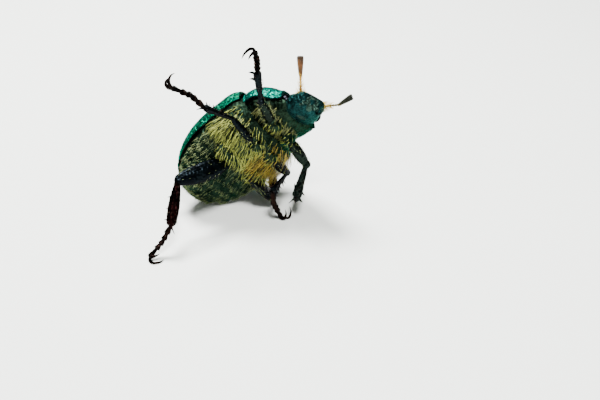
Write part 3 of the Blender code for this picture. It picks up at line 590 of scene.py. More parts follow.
CLUB_IN_PAINTED_SHADE = cuticle(
    "shaded feeler club", (0.002, 0.003, 0.002), (0.009, 0.01, 0.005), metallic=0.0, roughness=(0.3, 0.45),
    pit=9000.0, pit_depth=0.4, wrinkle_depth=0.4, specular=0.2, pit_shade_brightness=0.6, edge=(0.4, 0.4, 0.3))
MOUTH_BROWN = cuticle(
    "mouth cuticle", (0.004, 0.012, 0.01), (0.03, 0.06, 0.045), metallic=0.8, roughness=(0.14, 0.28),
    pit=7000.0, pit_depth=0.3, wrinkle_depth=0.4)
EYE_BLACK = cuticle(
    "eye", (0.003, 0.003, 0.004), (0.008, 0.008, 0.01), metallic=1.0, roughness=(0.16, 0.26),
    pit=26000.0, pit_depth=0.03, wrinkle_depth=0.0, pit_shade_brightness=0.8, edge=(0.1, 0.11, 0.13))
GOLD_HAIR = hair_material("gold hair", (0.09, 0.06, 0.002), (0.56, 0.41, 0.04))
STRAW_HAIR = hair_material("straw hair", (0.05, 0.06, 0.006), (0.48, 0.52, 0.1))
PALE_HAIR = hair_material("pale hair", (0.06, 0.08, 0.024), (0.34, 0.41, 0.17))
DULL_HAIR = hair_material("dull hair", (0.04, 0.05, 0.012), (0.18, 0.19, 0.05))
BROWN_HAIR = hair_material("brown bristle", (0.01, 0.005, 0.003), (0.05, 0.025, 0.012))
FEELER_HAIR = hair_material("feeler bristle", (0.4, 0.24, 0.02), (0.75, 0.52, 0.08))


# Wing cases

CASE_STRIAE = 9
CASE_ROWS, CASE_COLUMNS = 190, 96
# Power that sets the columns of a case closer together near its rim
COLUMN_POWER = 1.25


def case_point(x, angle):
    rim = size_at(x, CASE_RIM)
    height = size_at(x, CASE_TOP) - rim
    return Vector((x, *arc_point(size_at(x, CASE_HALF_WIDTH), rim, height, CASE_POWERS, angle)))


def case_depth(share, x, point):
    """Fine lines of pits along the case, a raised bead at its rim, and wrinkles towards the side."""
    line = math.cos(share * CASE_STRIAE * math.tau)
    along = 0.04 * min(line + 0.55, 0.0)
    bead = 0.07 * bump_at(share, 0.012, 0.012) - 0.05 * bump_at(share, 0.05, 0.014)
    shoulder = 0.1 * bump_at(x, 1.2, 0.8) * bump_at(share, 0.45, 0.12)
    hip_bump = 0.1 * bump_at(x, -6.3, 0.8) * bump_at(share, 0.55, 0.12)
    rough = 0.022 + 0.03 * bump_at(share, 0.12, 0.1)
    return along + bead + shoulder + hip_bump + wrinkles(point, 3.2, rough) + pits(point, 4.6, 0.035)


def shield_half_width(x):
    share = (x - SCUTELLUM_REAR) / (THORAX_FRONT - SCUTELLUM_REAR)
    return SCUTELLUM_HALF_WIDTH * math.sin(max(share, 0.0) * math.pi / 2) ** 0.9


def case_inner_angle(x):
    """Angle round the back at which a wing case ends, at the seam or at the small shield."""
    edge = max(SEAM, shield_half_width(x) + SEAM)
    return math.acos((edge / size_at(x, CASE_HALF_WIDTH)) ** (1 / CASE_POWERS[0]))


def case_angle(column, x):
    return (column / CASE_COLUMNS) ** COLUMN_POWER * case_inner_angle(x)


def make_case(side, label):
    row_length = CASE_COLUMNS + 1
    grid = []
    for x in steps(ABDOMEN_END, THORAX_FRONT, CASE_ROWS):
        row = [case_point(x, case_angle(column, x)) for column in range(row_length)]
        for point in row:
            point.y *= side
        grid.append(row)
    shell = skin(f"case_{label}", grid, wrap=False)
    normals = [v.normal.copy() for v in shell.data.vertices]
    upward = 1 if normals[CASE_ROWS // 2 * row_length + CASE_COLUMNS].z > 0 else -1
    for index, v in enumerate(shell.data.vertices):
        share = case_angle(index % row_length, v.co.x) / (math.pi / 2)
        v.co += normals[index] * upward * case_depth(share, v.co.x, v.co)
    if upward < 0:
        shell.data.flip_normals()
    thicken(shell, CASE_THICKNESS, GREEN, BELLY_GREEN)
    piece(shell, GREEN, "elytron", f"elytron_{label}")


def make_scutellum():
    """Small shield between the wing cases, a little domed."""
    rows = []
    for x in steps(SCUTELLUM_REAR - SHIELD_LAP, THORAX_FRONT, 44):
        half = max(shield_half_width(x + SHIELD_LAP), 0.01)
        row = []
        for t in steps(-1.0, 1.0, 40):
            y = half * t
            cosine = math.copysign(abs(y / size_at(x, CASE_HALF_WIDTH)) ** (1 / CASE_POWERS[0]), y)
            point = case_point(x, math.acos(min(max(cosine, -1), 1)))
            point.z += SCUTELLUM_RISE - SCUTELLUM_DOME * t**6
            row.append(point)
        rows.append(row)
    shield = skin("shield", rows, wrap=False)
    face_up(shield, 100)
    relief(shield, lambda p: pits(p, 4.0, 0.03) + wrinkles(p, 3.0, 0.01))
    thicken(shield, SCUTELLUM_THICKNESS, GREEN, BELLY_GREEN)
    piece(shield, GREEN, "scutellum", "scutellum")


# Trunk

TRUNK_COUNT = 120


def plate_share(x):
    """Place along the belly plate that holds x, from 0 at its front to 1 at its rear edge."""
    for front, rear in zip(PLATE_EDGES, PLATE_EDGES[1:]):
        if rear < x <= front:
            return (front - x) / (front - rear)
    return None


def trunk_step(x):
    """Height lost towards the front of each belly plate, so its rear edge stands over the next one."""
    share = plate_share(x)
    if share is None:
        return 0.0
    return PLATE_STEP * (share**0.7 - 1.0) - 0.06 * bump_at(share, 1.0, 0.03)


def closed_at_tail(x, y, z):
    """Point of the trunk, drawn in to a rounded tail behind the wing cases."""
    share = max(ABDOMEN_END - x, 0.0) / (ABDOMEN_END - TAIL_END[0])
    shrink = math.sqrt(max(1 - share * share, 0.0))
    return Vector((x, y * shrink, TAIL_END[1] + (z - TAIL_END[1]) * shrink))


def belly_point(x, angle):
    """Point on the underside; the angle runs from the left side round to the right."""
    rim = size_at(x, CASE_RIM) - RIM_STEP
    half_width = size_at(x, CASE_HALF_WIDTH) - RIM_INSET
    return closed_at_tail(x, *arc_point(half_width, rim, size_at(x, BELLY) - rim, BELLY_POWERS, angle))


def core_row(x):
    """Row round the trunk: the back under the wing cases, then the belly."""
    inset = CORE_INSET + TAIL_INSET * smooth_step((ABDOMEN_END + TAIL_INSET_LENGTH - x) / TAIL_INSET_LENGTH)
    rim = size_at(x, CASE_RIM)
    height = max(size_at(x, CASE_TOP) - inset - rim, 0.1)
    half_width = size_at(x, CASE_HALF_WIDTH) - inset
    back = arc(half_width, rim - 0.05, height, CASE_POWERS, TRUNK_COUNT // 4)
    row = [closed_at_tail(x, y, z) for y, z in back]
    middle = (size_at(x, BELLY) + rim) / 2
    step = trunk_step(x) * smooth_step((WAIST - x) / 0.1 + 0.5)
    for angle in steps(math.pi, 0.0, TRUNK_COUNT):
        point = belly_point(x, angle)
        row.append(point + Vector((0.0, point.y, point.z - middle)).normalized() * step)
    return row


def thorax_row(x):
    """Row round the chest, whose underside has a groove along the middle and the seams of its plates."""
    row = core_row(x)
    for point in row:
        groove = 0.12 * bump_at(point.y, 0.0, 0.12) * smooth_step((0.3 - x) / 1.0)
        side_seam = 0.06 * bump_at(abs(point.y) - 3.6 + 0.25 * x, 0.0, 0.1)
        cross_seam = 0.06 * bump_at(x - 1.9 - 0.1 * abs(point.y), 0.0, 0.08)
        if point.z < size_at(x, CASE_RIM) - 0.3:
            point.z += groove + side_seam + cross_seam
    return row


def trunk_depth(point):
    return pits(point, 3.4, 0.04) + wrinkles(point, 2.0, 0.03)


def make_trunk():
    thorax = skin("thorax_skin", [thorax_row(x) for x in steps(THORAX_FRONT + 0.1, WAIST + 0.05, 60)])
    relief(thorax, trunk_depth)
    piece(thorax, BELLY_GREEN, "thorax", "thorax")
    stations = steps(WAIST, ABDOMEN_END, 150) + steps(ABDOMEN_END, TAIL_END[0] + 0.004, 16)[1:]
    abdomen = skin("abdomen_skin", [core_row(x) for x in stations])
    relief(abdomen, trunk_depth)
    piece(abdomen, BELLY_GREEN, "abdomen", "abdomen")
    plate = skin("pygidium_skin", ball(PYGIDIUM_CENTRE, PYGIDIUM_RADII, segments=96, rings=64))
    relief(plate, lambda p: pits(p, 4.2, 0.03) + wrinkles(p, 2.4, 0.03))
    piece(plate, PYGIDIUM_GREEN, "pygidium", "pygidium")


# Prothorax

PRO_ROWS, PRO_COLUMNS = 80, 120


def pro_point(x, y, z):
    """Point of the prothorax, whose front corners reach forward beside the head."""
    share = min(abs(y) / size_at(x, PRO_HALF_WIDTH), 1.0)
    reach = PRO_CORNER_REACH * (share**3 - 0.4) * smooth_step((x - 4.8) / 2.0)
    return bent((x + reach, y, z))


def pronotum_point(x, share):
    """Point over the back of the prothorax, with a raised bead along its sides and front."""
    rim = size_at(x, PRO_RIM)
    y, z = arc_point(size_at(x, PRO_HALF_WIDTH), rim, size_at(x, PRO_TOP) - rim, PRO_POWERS, share * math.pi)
    point = pro_point(x, y, z)
    side_share = min(share, 1 - share)
    bead = 0.07 * bump_at(side_share, 0.01, 0.012) - 0.05 * bump_at(side_share, 0.04, 0.014)
    bead += 0.06 * bump_at(x, PRO_FRONT - 0.06, 0.06) - 0.04 * bump_at(x, PRO_FRONT - 0.25, 0.07)
    point.z += bead
    point.y += math.copysign(bead, y) * abs(math.cos(share * math.pi))
    return point


def pro_belly_point(x, angle):
    ledge = size_at(x, PRO_RIM) - PRO_EDGE
    half_width = size_at(x, PRO_HALF_WIDTH) - PRO_BELLY_INSET
    return pro_point(x, *arc_point(half_width, ledge, size_at(x, PRO_BELLY) - ledge, PRO_BELLY_POWERS, angle))


def make_prothorax():
    rows = [[pronotum_point(x, share) for share in steps(0.0, 1.0, PRO_COLUMNS)]
            for x in steps(PRO_REAR, PRO_FRONT, PRO_ROWS)]
    shield = skin("pronotum", rows, wrap=False)
    face_up(shield, PRO_COLUMNS * PRO_ROWS // 2 + PRO_COLUMNS // 2)
    relief(shield, lambda p: pits(p, 4.0, 0.06) + wrinkles(p, 3.0, 0.03))
    thicken(shield, PRO_THICKNESS, TURQUOISE, TEAL)
    piece(shield, TURQUOISE, "prothorax", "prothorax")
    rows = []
    for x in steps(PRO_REAR + 0.1, STERNUM_FRONT, 60):
        rim = size_at(x, PRO_RIM)
        height = size_at(x, PRO_TOP) - PRO_THICKNESS - rim
        back = arc(size_at(x, PRO_HALF_WIDTH) - PRO_BELLY_INSET, rim, height, PRO_POWERS, 24)
        rows.append([pro_point(x, y, z) for y, z in back]
                    + [pro_belly_point(x, angle) for angle in steps(math.pi, 0.0, 90)])
    sternum = skin("prosternum", rows)
    relief(sternum, trunk_depth)
    piece(sternum, BELLY_GREEN, "prothorax")


# Head

ACROSS_HEAD = HEAD.to_3x3() @ Vector((0, 1, 0))
BROW_RADIUS = 0.1
# Half length and half height of the brow's arc round the eye, and its place in from the eye's centre
BROW_ARC = (0.7, 0.64)
BROW_INSET = 0.12
# Centre and radii of the rounded mouthparts
MIDDLE_MOUTHPARTS = {
    "lip": ((9.2, 0.0, -1.55), (0.22, 0.62, 0.16)),
    "chin": ((8.1, 0.0, -2.2), (0.75, 0.5, 0.22)),
    "throat": ((7.3, 0.0, -2.05), (0.6, 0.9, 0.25)),
}
PAIRED_MOUTHPARTS = {
    "jaw": ((8.85, 0.5, -1.75), (0.42, 0.28, 0.24)),
    "cheek": ((8.3, 0.85, -1.95), (0.55, 0.26, 0.3)),
    "inner jaw": ((8.75, 0.35, -2.1), (0.3, 0.2, 0.2)),
}
# Joints of the two kinds of palp, and the radius of each segment
LONG_PALP = ((8.2, 0.95, -2.1), (8.5, 1.15, -2.5), (8.95, 1.1, -2.75), (9.5, 0.85, -2.75))
LONG_PALP_RADII = (0.13, 0.14, 0.19)
SHORT_PALP = ((8.55, 0.3, -2.3), (8.8, 0.45, -2.55), (9.15, 0.4, -2.6))
SHORT_PALP_PROFILE = [(0.0, 0.05, 0.05), (0.6, 0.12, 0.12), (1.0, 0.06, 0.06)]


def head_row(x):
    """Row round the head, with the raised rim of its front plate and the seam behind that."""
    top, bottom = size_at(x, HEAD_TOP), size_at(x, HEAD_BELLY)
    middle = (top + bottom) / 2
    half_width = size_at(x, HEAD_HALF_WIDTH)
    ring = arc(half_width, middle, top - middle, HEAD_POWERS, 40)
    ring += arc(half_width, middle, bottom - middle, HEAD_POWERS, 40, math.pi, 0.0)[1:-1]
    row = []
    for y, z in ring:
        lip = 0.12 * bump_at(x, 9.15, 0.12) * smooth_step((z - middle) * 3)
        seam = -0.06 * bump_at(x, 8.35 - 0.1 * abs(y), 0.07) * smooth_step((z - middle) * 3)
        row.append(head_point(x, y, z + lip + seam))
    return row


def make_head():
    head = skin("head_skin", [head_row(x) for x in steps(HEAD_HALF_WIDTH[0][0], HEAD_HALF_WIDTH[-1][0], 60)])
    relief(head, lambda p: pits(p, 5.5, 0.02) + wrinkles(p, 2.5, 0.015))
    piece(head, TEAL, "head", "head")
    for side, label in SIDES:
        x, y, z = EYE_CENTRE[0], side * EYE_CENTRE[1], EYE_CENTRE[2]
        eye = skin(f"eye_{label}_skin", ball(head_point(x, y, z), EYE_RADII, segments=64, rings=40))
        piece(eye, EYE_BLACK, "eye", f"eye_{label}")
        route = []
        for angle in steps(-0.3, 1.6, 12):
            ahead, up = BROW_ARC[0] * math.cos(angle), BROW_ARC[1] * math.sin(angle)
            route.append(head_point(x + ahead, y - side * BROW_INSET, z + up))
        ridge = skin(f"brow_{label}", tube(route, [(BROW_RADIUS, BROW_RADIUS)] * len(route), ACROSS_HEAD, 10))
        piece(ridge, TEAL, "head")


def make_palps(side):
    parts = []
    joints = [head_point(x, side * y, z) for x, y, z in LONG_PALP]
    for near, far, radius in zip(joints, joints[1:], LONG_PALP_RADII):
        profile = [(0.0, 0.06, 0.06)] + sized([(0.25, 0.8), (0.75, 1.0), (1.0, 0.45)], radius)
        parts.append(skin("palp", profile_tube([near, far], profile, ACROSS_HEAD, 12, 12)))
    joints = [head_point(x, side * y, z) for x, y, z in SHORT_PALP]
    for near, far in zip(joints, joints[1:]):
        parts.append(skin("palp", profile_tube([near, far], SHORT_PALP_PROFILE, ACROSS_HEAD, 10, 10)))
    return parts


def make_mouth():
    """Upper lip, jaws, chin plate, and a pair each of the two kinds of palp."""
    turn = HEAD.to_3x3()
    parts = []
    for name, (centre, radii) in MIDDLE_MOUTHPARTS.items():
        parts.append(skin(name, ball(head_point(*centre), radii, turn)))
    for side, _ in SIDES:
        for name, ((x, y, z), radii) in PAIRED_MOUTHPARTS.items():
            parts.append(skin(name, ball(head_point(x, side * y, z), radii, turn)))
        parts += make_palps(side)
    mouth = joined("mouthparts", parts)
    relief(mouth, lambda p: wrinkles(p, 5.0, 0.015))
    piece(mouth, MOUTH_BROWN, "head")


def antenna_axis(side, label):
    """Start of a feeler's stalk, its direction, and the direction in which its club spreads."""
    form = ANTENNAE[label]
    to_body = VIEWER_TO_BODY.to_3x3()
    root = head_point(ANTENNA_ROOT[0], side * ANTENNA_ROOT[1], ANTENNA_ROOT[2])
    ahead = (to_body @ Vector(form["ahead"])).normalized()
    start = root + to_body @ Vector(form["shift"]) + ahead * STALK_SUNK
    return start, ahead, to_body @ Vector(form["spread"])


def make_antenna(side, label):
    """Nine joints: a long first one, small ones, and a club of three leaves."""
    form = ANTENNAE[label]
    start, ahead, spread = antenna_axis(side, label)
    base = start - ahead * STALK_SUNK
    place = 0.0
    joints = []
    for share, radius in STALK_JOINTS:
        near = base + ahead * place
        place += share * (form["stalk"] + STALK_SUNK)
        profile = sized([(0.0, 0.5), (0.3, 0.85), (0.8, 1.0), (1.0, 0.5)], radius)
        joints.append(skin("joint", profile_tube([near, base + ahead * place], profile, spread, 12, 14)))
    stalk = joined(f"feeler_stalk_{label}", joints)
    # The left feeler's stalk takes the darker copy, which is painted shade
    piece(stalk, STALK_IN_PAINTED_SHADE if label == "left" else STALK_BROWN, "antenna", f"antenna_{label}")
    leaves = []
    club_ahead = VIEWER_TO_BODY.to_3x3() @ Vector(form["club_ahead"])
    for k in (-1, 0, 1):
        out = (club_ahead + spread * form["leaf_spread"] * k).normalized()
        base = start + ahead * (form["stalk"] - 0.2) + spread * 0.07 * k
        route = [base, base + out * (form["club"] + 0.15)]
        leaves.append(skin("leaf", profile_tube(route, sized(CLUB_LEAF, form["leaf_width"]), spread, 30, 20)))
    club = joined(f"feeler_club_{label}", leaves)
    relief(club, lambda p: pits(p, 9.0, 0.01))
    # The left feeler's club takes the darker copy, which is painted shade
    piece(club, CLUB_IN_PAINTED_SHADE if label == "left" else CLUB_BROWN, "antenna")


# Legs

def leg_point(leg, joint):
    return VIEWER_TO_BODY @ Vector(LEGS[leg][joint])


def hip_place(kind, side, place):
    """Point on a hip of one side, given for the left one."""
    point = Vector((place[0], place[1] * side, place[2]))
    return bent(point) if kind == "front" else point


def thigh_root(leg):
    kind, label = leg.split("_")
    return hip_place(kind, 1 if label == "left" else -1, THIGH_ROOT[kind])


def broad_side(leg):
    """Direction across the plane that the leg bends in."""
    knee, ankle = leg_point(leg, "knee"), leg_point(leg, "ankle")
    return (knee - thigh_root(leg)).cross(ankle - knee).normalized()


def spike(root, tip, radius, side):
    """Thorn with a swollen base."""
    bend = (tip - root).length * 0.08
    route = [root, root.lerp(tip, 0.5) + side * bend, tip]
    profile = sized([(0.0, 1.0), (0.35, 0.85), (0.8, 0.45)], radius) + [(1.0, 0.015, 0.015)]
    return skin("spike", profile_tube(route, profile, (tip - root).orthogonal().normalized(), 10, 8))


def make_thigh(leg):
    kind = leg.split("_")[0]
    start, knee = thigh_root(leg), leg_point(leg, "knee")
    half_width, half_depth = [size * THIGH_SLIMMING.get(leg, 1.0) for size in THIGH_SIZE[kind]]
    end = knee + (knee - start).normalized() * KNEE_REACH
    in_plane = broad_side(leg).cross(knee - start).normalized()
    profile = sized(THIGH_STATIONS, half_width, half_depth)
    thigh = skin(f"thigh_{leg}", profile_tube([start, end], profile, in_plane, 70, 56))
    relief(thigh, lambda p: pits(p, 4.5, 0.02) + wrinkles(p, 2.0, 0.02))
    piece(thigh, THIGH_GREEN if kind == "front" else THIGH_BLACK, "femur", f"femur_{leg}")


def make_hip(leg):
    kind, label = leg.split("_")
    centre, radii = HIPS[kind]
    place = hip_place(kind, 1 if label == "left" else -1, centre)
    hip = skin(f"hip_{leg}", ball(place, radii, segments=48, rings=32))
    relief(hip, lambda p: pits(p, 4.0, 0.025) + wrinkles(p, 1.5, 0.04))
    piece(hip, BELLY_GREEN, "coxa", f"coxa_{leg}")


def shin_thorns(leg, outward, along, half_depth):
    """Teeth and thorns along a shin's outer edge, and the two spurs at its end."""
    kind = leg.split("_")[0]
    knee, ankle, side = leg_point(leg, "knee"), leg_point(leg, "ankle"), broad_side(leg)
    length = SPINE_LENGTH[kind] + SHIN_SIZE[kind][0] * 0.8
    thorns = []
    for share in SPINE_SHARES[kind]:
        root = knee.lerp(ankle, share)
        tip = root + (outward + along * 0.6).normalized() * length
        thorns.append(spike(root.lerp(tip, 0.25), tip, 0.15 if kind == "front" else 0.1, along))
        for turn in () if kind == "front" else (-1, 1):
            lean = (outward * 0.8 + side * 0.7 * turn + along * 0.6).normalized()
            start, end = root + lean * half_depth * 0.7, root + lean * (half_depth + 0.35)
            thorns.append(spike(start, end, 0.07, along))
    for sign, length in ((1, SPUR_LENGTH), (-1, SPUR_LENGTH * 0.8)):
        root = ankle - along * 0.15 + side * sign * half_depth * 0.6
        lean = (along + side * sign * 0.35 - outward * 0.35).normalized()
        thorns.append(spike(root, root + lean * (length + 0.15), 0.1, outward))
    return thorns


def make_shin(leg):
    kind = leg.split("_")[0]
    knee, ankle = leg_point(leg, "knee"), leg_point(leg, "ankle")
    half_width, half_depth = [size * SHIN_WIDENING.get(leg, 1.0) for size in SHIN_SIZE[kind]]
    along = (ankle - knee).normalized()
    outward = broad_side(leg).cross(along).normalized()
    if outward.dot(knee - thigh_root(leg)) < 0:
        outward.negate()
    profile = sized(SHIN_STATIONS[kind], half_width, half_depth)
    rows = profile_tube([knee, ankle], profile, outward, 60, 48, ridges=0.07, ridge_count=6)
    shin = skin(f"shin_{leg}", rows)
    relief(shin, lambda p: pits(p, 4.0, 0.03) + wrinkles(p, 3.0, 0.02))
    parts = [shin]
    if kind == "front":
        parts.append(skin("knee", ball(knee, (half_depth * KNEE_SWELL,) * 3)))
    shin = joined(f"shin_{leg}", parts + shin_thorns(leg, outward, along, half_depth))
    look = SHIN_MAROON if kind == "hind" else THIGH_GREEN if leg == "front_left" else THIGH_BLACK
    piece(shin, look, "tibia", f"tibia_{leg}")


def along_route(route, share):
    """Point on a bent line at a share of its length."""
    lengths = [(b - a).length for a, b in zip(route, route[1:])]
    target = share * sum(lengths)
    for (a, b), length in zip(zip(route, route[1:]), lengths):
        if target <= length:
            return a.lerp(b, target / length)
        target -= length
    return route[-1].copy()


def foot_route(leg):
    return [leg_point(leg, "ankle")] + [VIEWER_TO_BODY @ Vector(point) for point in LEGS[leg]["foot"]]


def make_claws(leg, route, side):
    """Two unequal claws at the end of a foot."""
    direction = (route[-1] - route[-2]).normalized()
    curl = direction.cross(side).normalized()
    if leg in CLAW_LIE:
        direction, curl = [(VIEWER_TO_BODY.to_3x3() @ Vector(lie)).normalized() for lie in CLAW_LIE[leg]]
        curl = (curl - direction * curl.dot(direction)).normalized()
        side = curl.cross(direction).normalized()
    claws = []
    for sign, length in ((1, CLAW_LENGTH), (-1, CLAW_LENGTH * 0.75)):
        base = route[-1] - direction * 0.15 + side * sign * 0.08
        points = [base + direction * length * ahead + side * sign * aside + curl * length * curled
                  for ahead, aside, curled in CLAW_CURVE]
        claws.append(skin("claw", profile_tube(points, CLAW_PROFILE, side, 30, 14)))
    return claws


def make_foot(leg):
    """Five joints, each a cup that holds the next, and two claws."""
    route, side = foot_route(leg), broad_side(leg)
    parts = []
    for near, far in zip(FOOT_JOINTS, FOOT_JOINTS[1:]):
        points = [along_route(route, near + (far - near) * t) for t in (-0.02, 0.5, 1.04)]
        profile = sized(FOOT_LAST if far == 1.0 else FOOT_CUP, FOOT_RADIUS)
        parts.append(skin("joint", profile_tube(points, profile, side, 20, 20)))
    foot = joined(f"foot_{leg}", parts + make_claws(leg, route, side))
    relief(foot, lambda p: wrinkles(p, 4.0, 0.012))
    piece(foot, FOOT_BLACK, "tarsus", f"tarsus_{leg}")


# Hair

# Size of a tuft's patch on the unwrap, and of the area that holds the patches of one stretch of skin
PATCH = 0.003
PATCH_AREA = 0.22
HAIR_WAVES = 9.0
ROOT_DEPTH = 0.06
# Steps of an even scatter over a unit square
SCATTER = (0.7548776662, 0.5698402910)


class Coat:
    """Strands of one coat piece, gathered as plain lists and made into one mesh."""

    def __init__(self, name, material, slot, seed):
        self.name, self.material, self.slot = name, material, slot
        self.draw = random.Random(seed)
        self.points, self.faces, self.patches = [], [], []

    def bend(self):
        """Sideways sweep, wave height and wave start of a hair."""
        draw = self.draw
        return draw.uniform(-0.1, 0.1), draw.uniform(0.035, 0.07), draw.uniform(0, math.tau)

    def strand(self, root, out, lie, place, length, lift, radius, sag, bends, bend=None):
        """One tapered hair; place is its root's spot on the unwrap, and lift a share of its length."""
        across = lie.cross(out).normalized()
        sweep, curl, phase = bend or self.bend()
        spine = []
        for t in steps(0.0, 1.0, bends):
            rise = lift * (1 - (1 - t) ** 2)
            wave = sweep * t * t + curl * math.sin(phase + HAIR_WAVES * t) * (0.3 + 0.7 * t)
            spine.append(root - out * ROOT_DEPTH * (1 - t) + lie * length * (t * 0.25 + 0.75 * t * t)
                         + out * length * rise + across * length * wave + DOWN * sag * length * t * t)
        self.wrap(spine, across, radius)
        self.patches.append((place, bends * 3 + 1))

    def wrap(self, spine, across, radius):
        """Three-sided skin round a spine, tapered to a point."""
        first, bends = len(self.points), len(spine) - 1
        for i, (point, ahead) in enumerate(zip(spine, spine[1:])):
            along = (ahead - point).normalized()
            a = along.cross(across)
            if a.length < 1e-4:
                a = along.orthogonal()
            a.normalize()
            b = along.cross(a)
            width = radius * (1 - 0.6 * (i / bends) ** 2)
            for angle in (0.0, math.tau / 3, math.tau * 2 / 3):
                self.points.append(point + (a * math.cos(angle) + b * math.sin(angle)) * width)
        self.points.append(spine[-1])
        for i in range(bends):
            ring = first + i * 3
            for k in range(3):
                p, q = ring + k, ring + (k + 1) % 3
                self.faces.append((p, q, q + 3, p + 3) if i < bends - 1 else (p, q, ring + 3))
        self.faces.append((first + 2, first + 1, first))

    def tuft(self, root, out, lie, place, length, lift, hairs, spread, **shape):
        """Hairs that start round one root and draw together towards their tips."""
        draw = self.draw
        across = lie.cross(out).normalized()
        bend = self.bend()
        for _ in range(hairs):
            a, b = draw.gauss(0, spread), draw.gauss(0, spread)
            heading = (lie - across * a * 0.7 / length).normalized()
            self.strand(root + across * a + lie * b, out, heading, place, length * draw.uniform(0.8, 1.1),
                        lift * draw.uniform(0.85, 1.15), bend=bend, **shape)

    def make(self):
        mesh = bpy.data.meshes.new(self.name)
        mesh.from_pydata(self.points, [], self.faces)
        layer = mesh.uv_layers.new(name="OFBake")
        spots = []
        for (u, v), count in self.patches:
            for i in range(count):
                spots.append((u + PATCH * ((i % 3) / 2 - 0.5), v + PATCH * (i / (count - 1) - 0.5)))
        for loop in mesh.loops:
            layer.data[loop.index].uv = spots[loop.vertex_index]
        obj = new_object(self.name, mesh)
        obj.data.shade_smooth()
        piece(obj, self.material, self.slot)


def surface_frame(surface, u, v, inside):
    """Point, outward direction, and the two directions along the surface."""
    step_u, step_v = 0.05, 0.02
    point = surface(u, v)
    ahead = surface(u + step_u, v) - surface(u - step_u, v)
    across = surface(u, v + step_v) - surface(u, v - step_v)
    out = ahead.cross(across).normalized()
    if out.dot(point - inside) < 0:
        out.negate()
    return point, out, ahead.normalized(), across.normalized()


def comb(coat, surface, u_range, v_range, corner, inside, lie_of, count, length, lift, keep=None, **shape):
    """Scatters tufts over a patch of a surface.

    corner is the low corner of the patch's area on the unwrap, and inside a point within the body.
    """
    draw = coat.draw
    for index in range(count):
        s = (0.5 + index * SCATTER[0] + draw.uniform(-0.012, 0.012)) % 1.0
        t = (0.5 + index * SCATTER[1] + draw.uniform(-0.012, 0.012)) % 1.0
        u = u_range[0] + (u_range[1] - u_range[0]) * s
        v = v_range[0] + (v_range[1] - v_range[0]) * t
        size = draw.uniform(0.7, 1.25)
        if keep and not keep(u, v, draw):
            continue
        middle = inside(u) if callable(inside) else inside
        point, out, ahead, across = surface_frame(surface, u, v, middle)
        lie = lie_of(point, ahead, noise.noise(point * 1.6))
        lie = lie - out * lie.dot(out)
        lie = (lie.normalized() + across * draw.uniform(-0.14, 0.14)).normalized()
        place = (corner[0] + PATCH_AREA * s, corner[1] + PATCH_AREA * t)
        coat.tuft(point, out, lie, place, length * size, lift * draw.uniform(0.5, 1.5), **shape)


# Directions in which hair lies, and rules for where it grows

def back_and_in(point, ahead, clump):
    """Hairs lie back along the body and towards its middle line."""
    inward = Vector((0, -1 if point.y > 0 else 1, 0))
    return -ahead + inward * (0.35 + 0.35 * clump) + DOWN * 0.2


def straight_back(point, ahead, clump):
    return -ahead + Vector((0, 0.25 * clump, 0))


def down_the_tail(point, ahead, clump):
    return Vector((-0.3, 0.0, -1.0))


def thinner_ahead(x, angle, draw):
    """Hair of the chest thins out in front of the middle legs."""
    return draw.random() < 1 - 0.4 * smooth_step((x - 0.4) / 1.2)


def plate_rows(x, angle, draw):
    """Most hairs stand in a row across the middle of each plate."""
    share = plate_share(x)
    return share is not None and draw.random() < 0.12 + 0.88 * bump_at(share, 0.55, 0.18)


def chest_middle(x):
    return Vector((x, 0.0, -1.5))


def belly_middle(x):
    return Vector((x, 0.0, -1.8))


# Kinds of hair: tufts, length, lift, radius, sag, bends of a hair, hairs of a tuft and how far they spread
CHEST_TUFTS = {"count": 250, "lift": 0.3, "radius": 0.018, "sag": 0.08, "bends": 7,
               "hairs": 2, "spread": 0.016}
CHEST_STRAYS = {"count": 60, "lift": 0.42, "radius": 0.014, "sag": 0.1, "bends": 7,
                "hairs": 1, "spread": 0.1}
STRAY_LENGTH = 1.2
STERNUM_TUFTS = {"count": 130, "length": 0.85, "lift": 0.4, "radius": 0.02, "sag": 0.1, "bends": 6,
                 "hairs": 2, "spread": 0.025}
BELLY_HAIRS = {"count": 1000, "length": 0.45, "lift": 0.28, "radius": 0.013, "sag": 0.0, "bends": 4,
               "hairs": 1, "spread": 0.03}
TAIL_HAIRS = {"count": 240, "length": 0.45, "lift": 0.4, "radius": 0.013, "sag": 0.0, "bends": 4,
              "hairs": 1, "spread": 0.1}
HIP_TUFTS = {"lift": 0.35, "radius": 0.018, "sag": 0.08, "bends": 6, "hairs": 2, "spread": 0.02}
THIGH_BRISTLE = {"lift": 0.4, "radius": 0.014, "sag": 0.1, "bends": 4}
SHIN_BRISTLE = {"lift": 0.5, "radius": 0.014, "sag": 0.0, "bends": 3}
FEELER_BRISTLE = {"lift": 0.6, "radius": 0.02, "sag": 0.0, "bends": 4}

# Seed, range of angles, corner of the unwrap's area, and for the chest the colour and length, of each side
CHEST_SIDES = {
    "left": (11, (0.1, 1.6), (0.02, 0.02), GOLD_HAIR, 1.3),
    "right": (12, (1.54, 3.04), (0.27, 0.02), STRAW_HAIR, 0.95),
}
BELLY_SIDES = {"left": (14, (0.12, 1.6), (0.02, 0.27)), "right": (15, (1.54, 3.02), (0.27, 0.27))}
# Number and length of the tufts on each hip, and the areas of the unwrap for the left and right one
HIP_HAIR = {
    "hind": (58, 0.85, ((0.02, 0.02), (0.27, 0.02))),
    "middle": (22, 0.6, ((0.52, 0.02), (0.75, 0.02))),
    "front": (18, 0.6, ((0.02, 0.27), (0.27, 0.27))),
}
FIRST_HIP_SEED = 41
# Bristles tried on each thigh, and set on each shin and feeler
THIGH_TRIES, SHIN_COUNT, FEELER_COUNT = 120, 60, 150
# Area of the unwrap for a leg's bristles: its step from leg to leg, its width, and the height of one limb's
LEG_AREA_STEP, LEG_AREA_WIDTH, LIMB_AREA_HEIGHT = 0.16, 0.14, 0.1
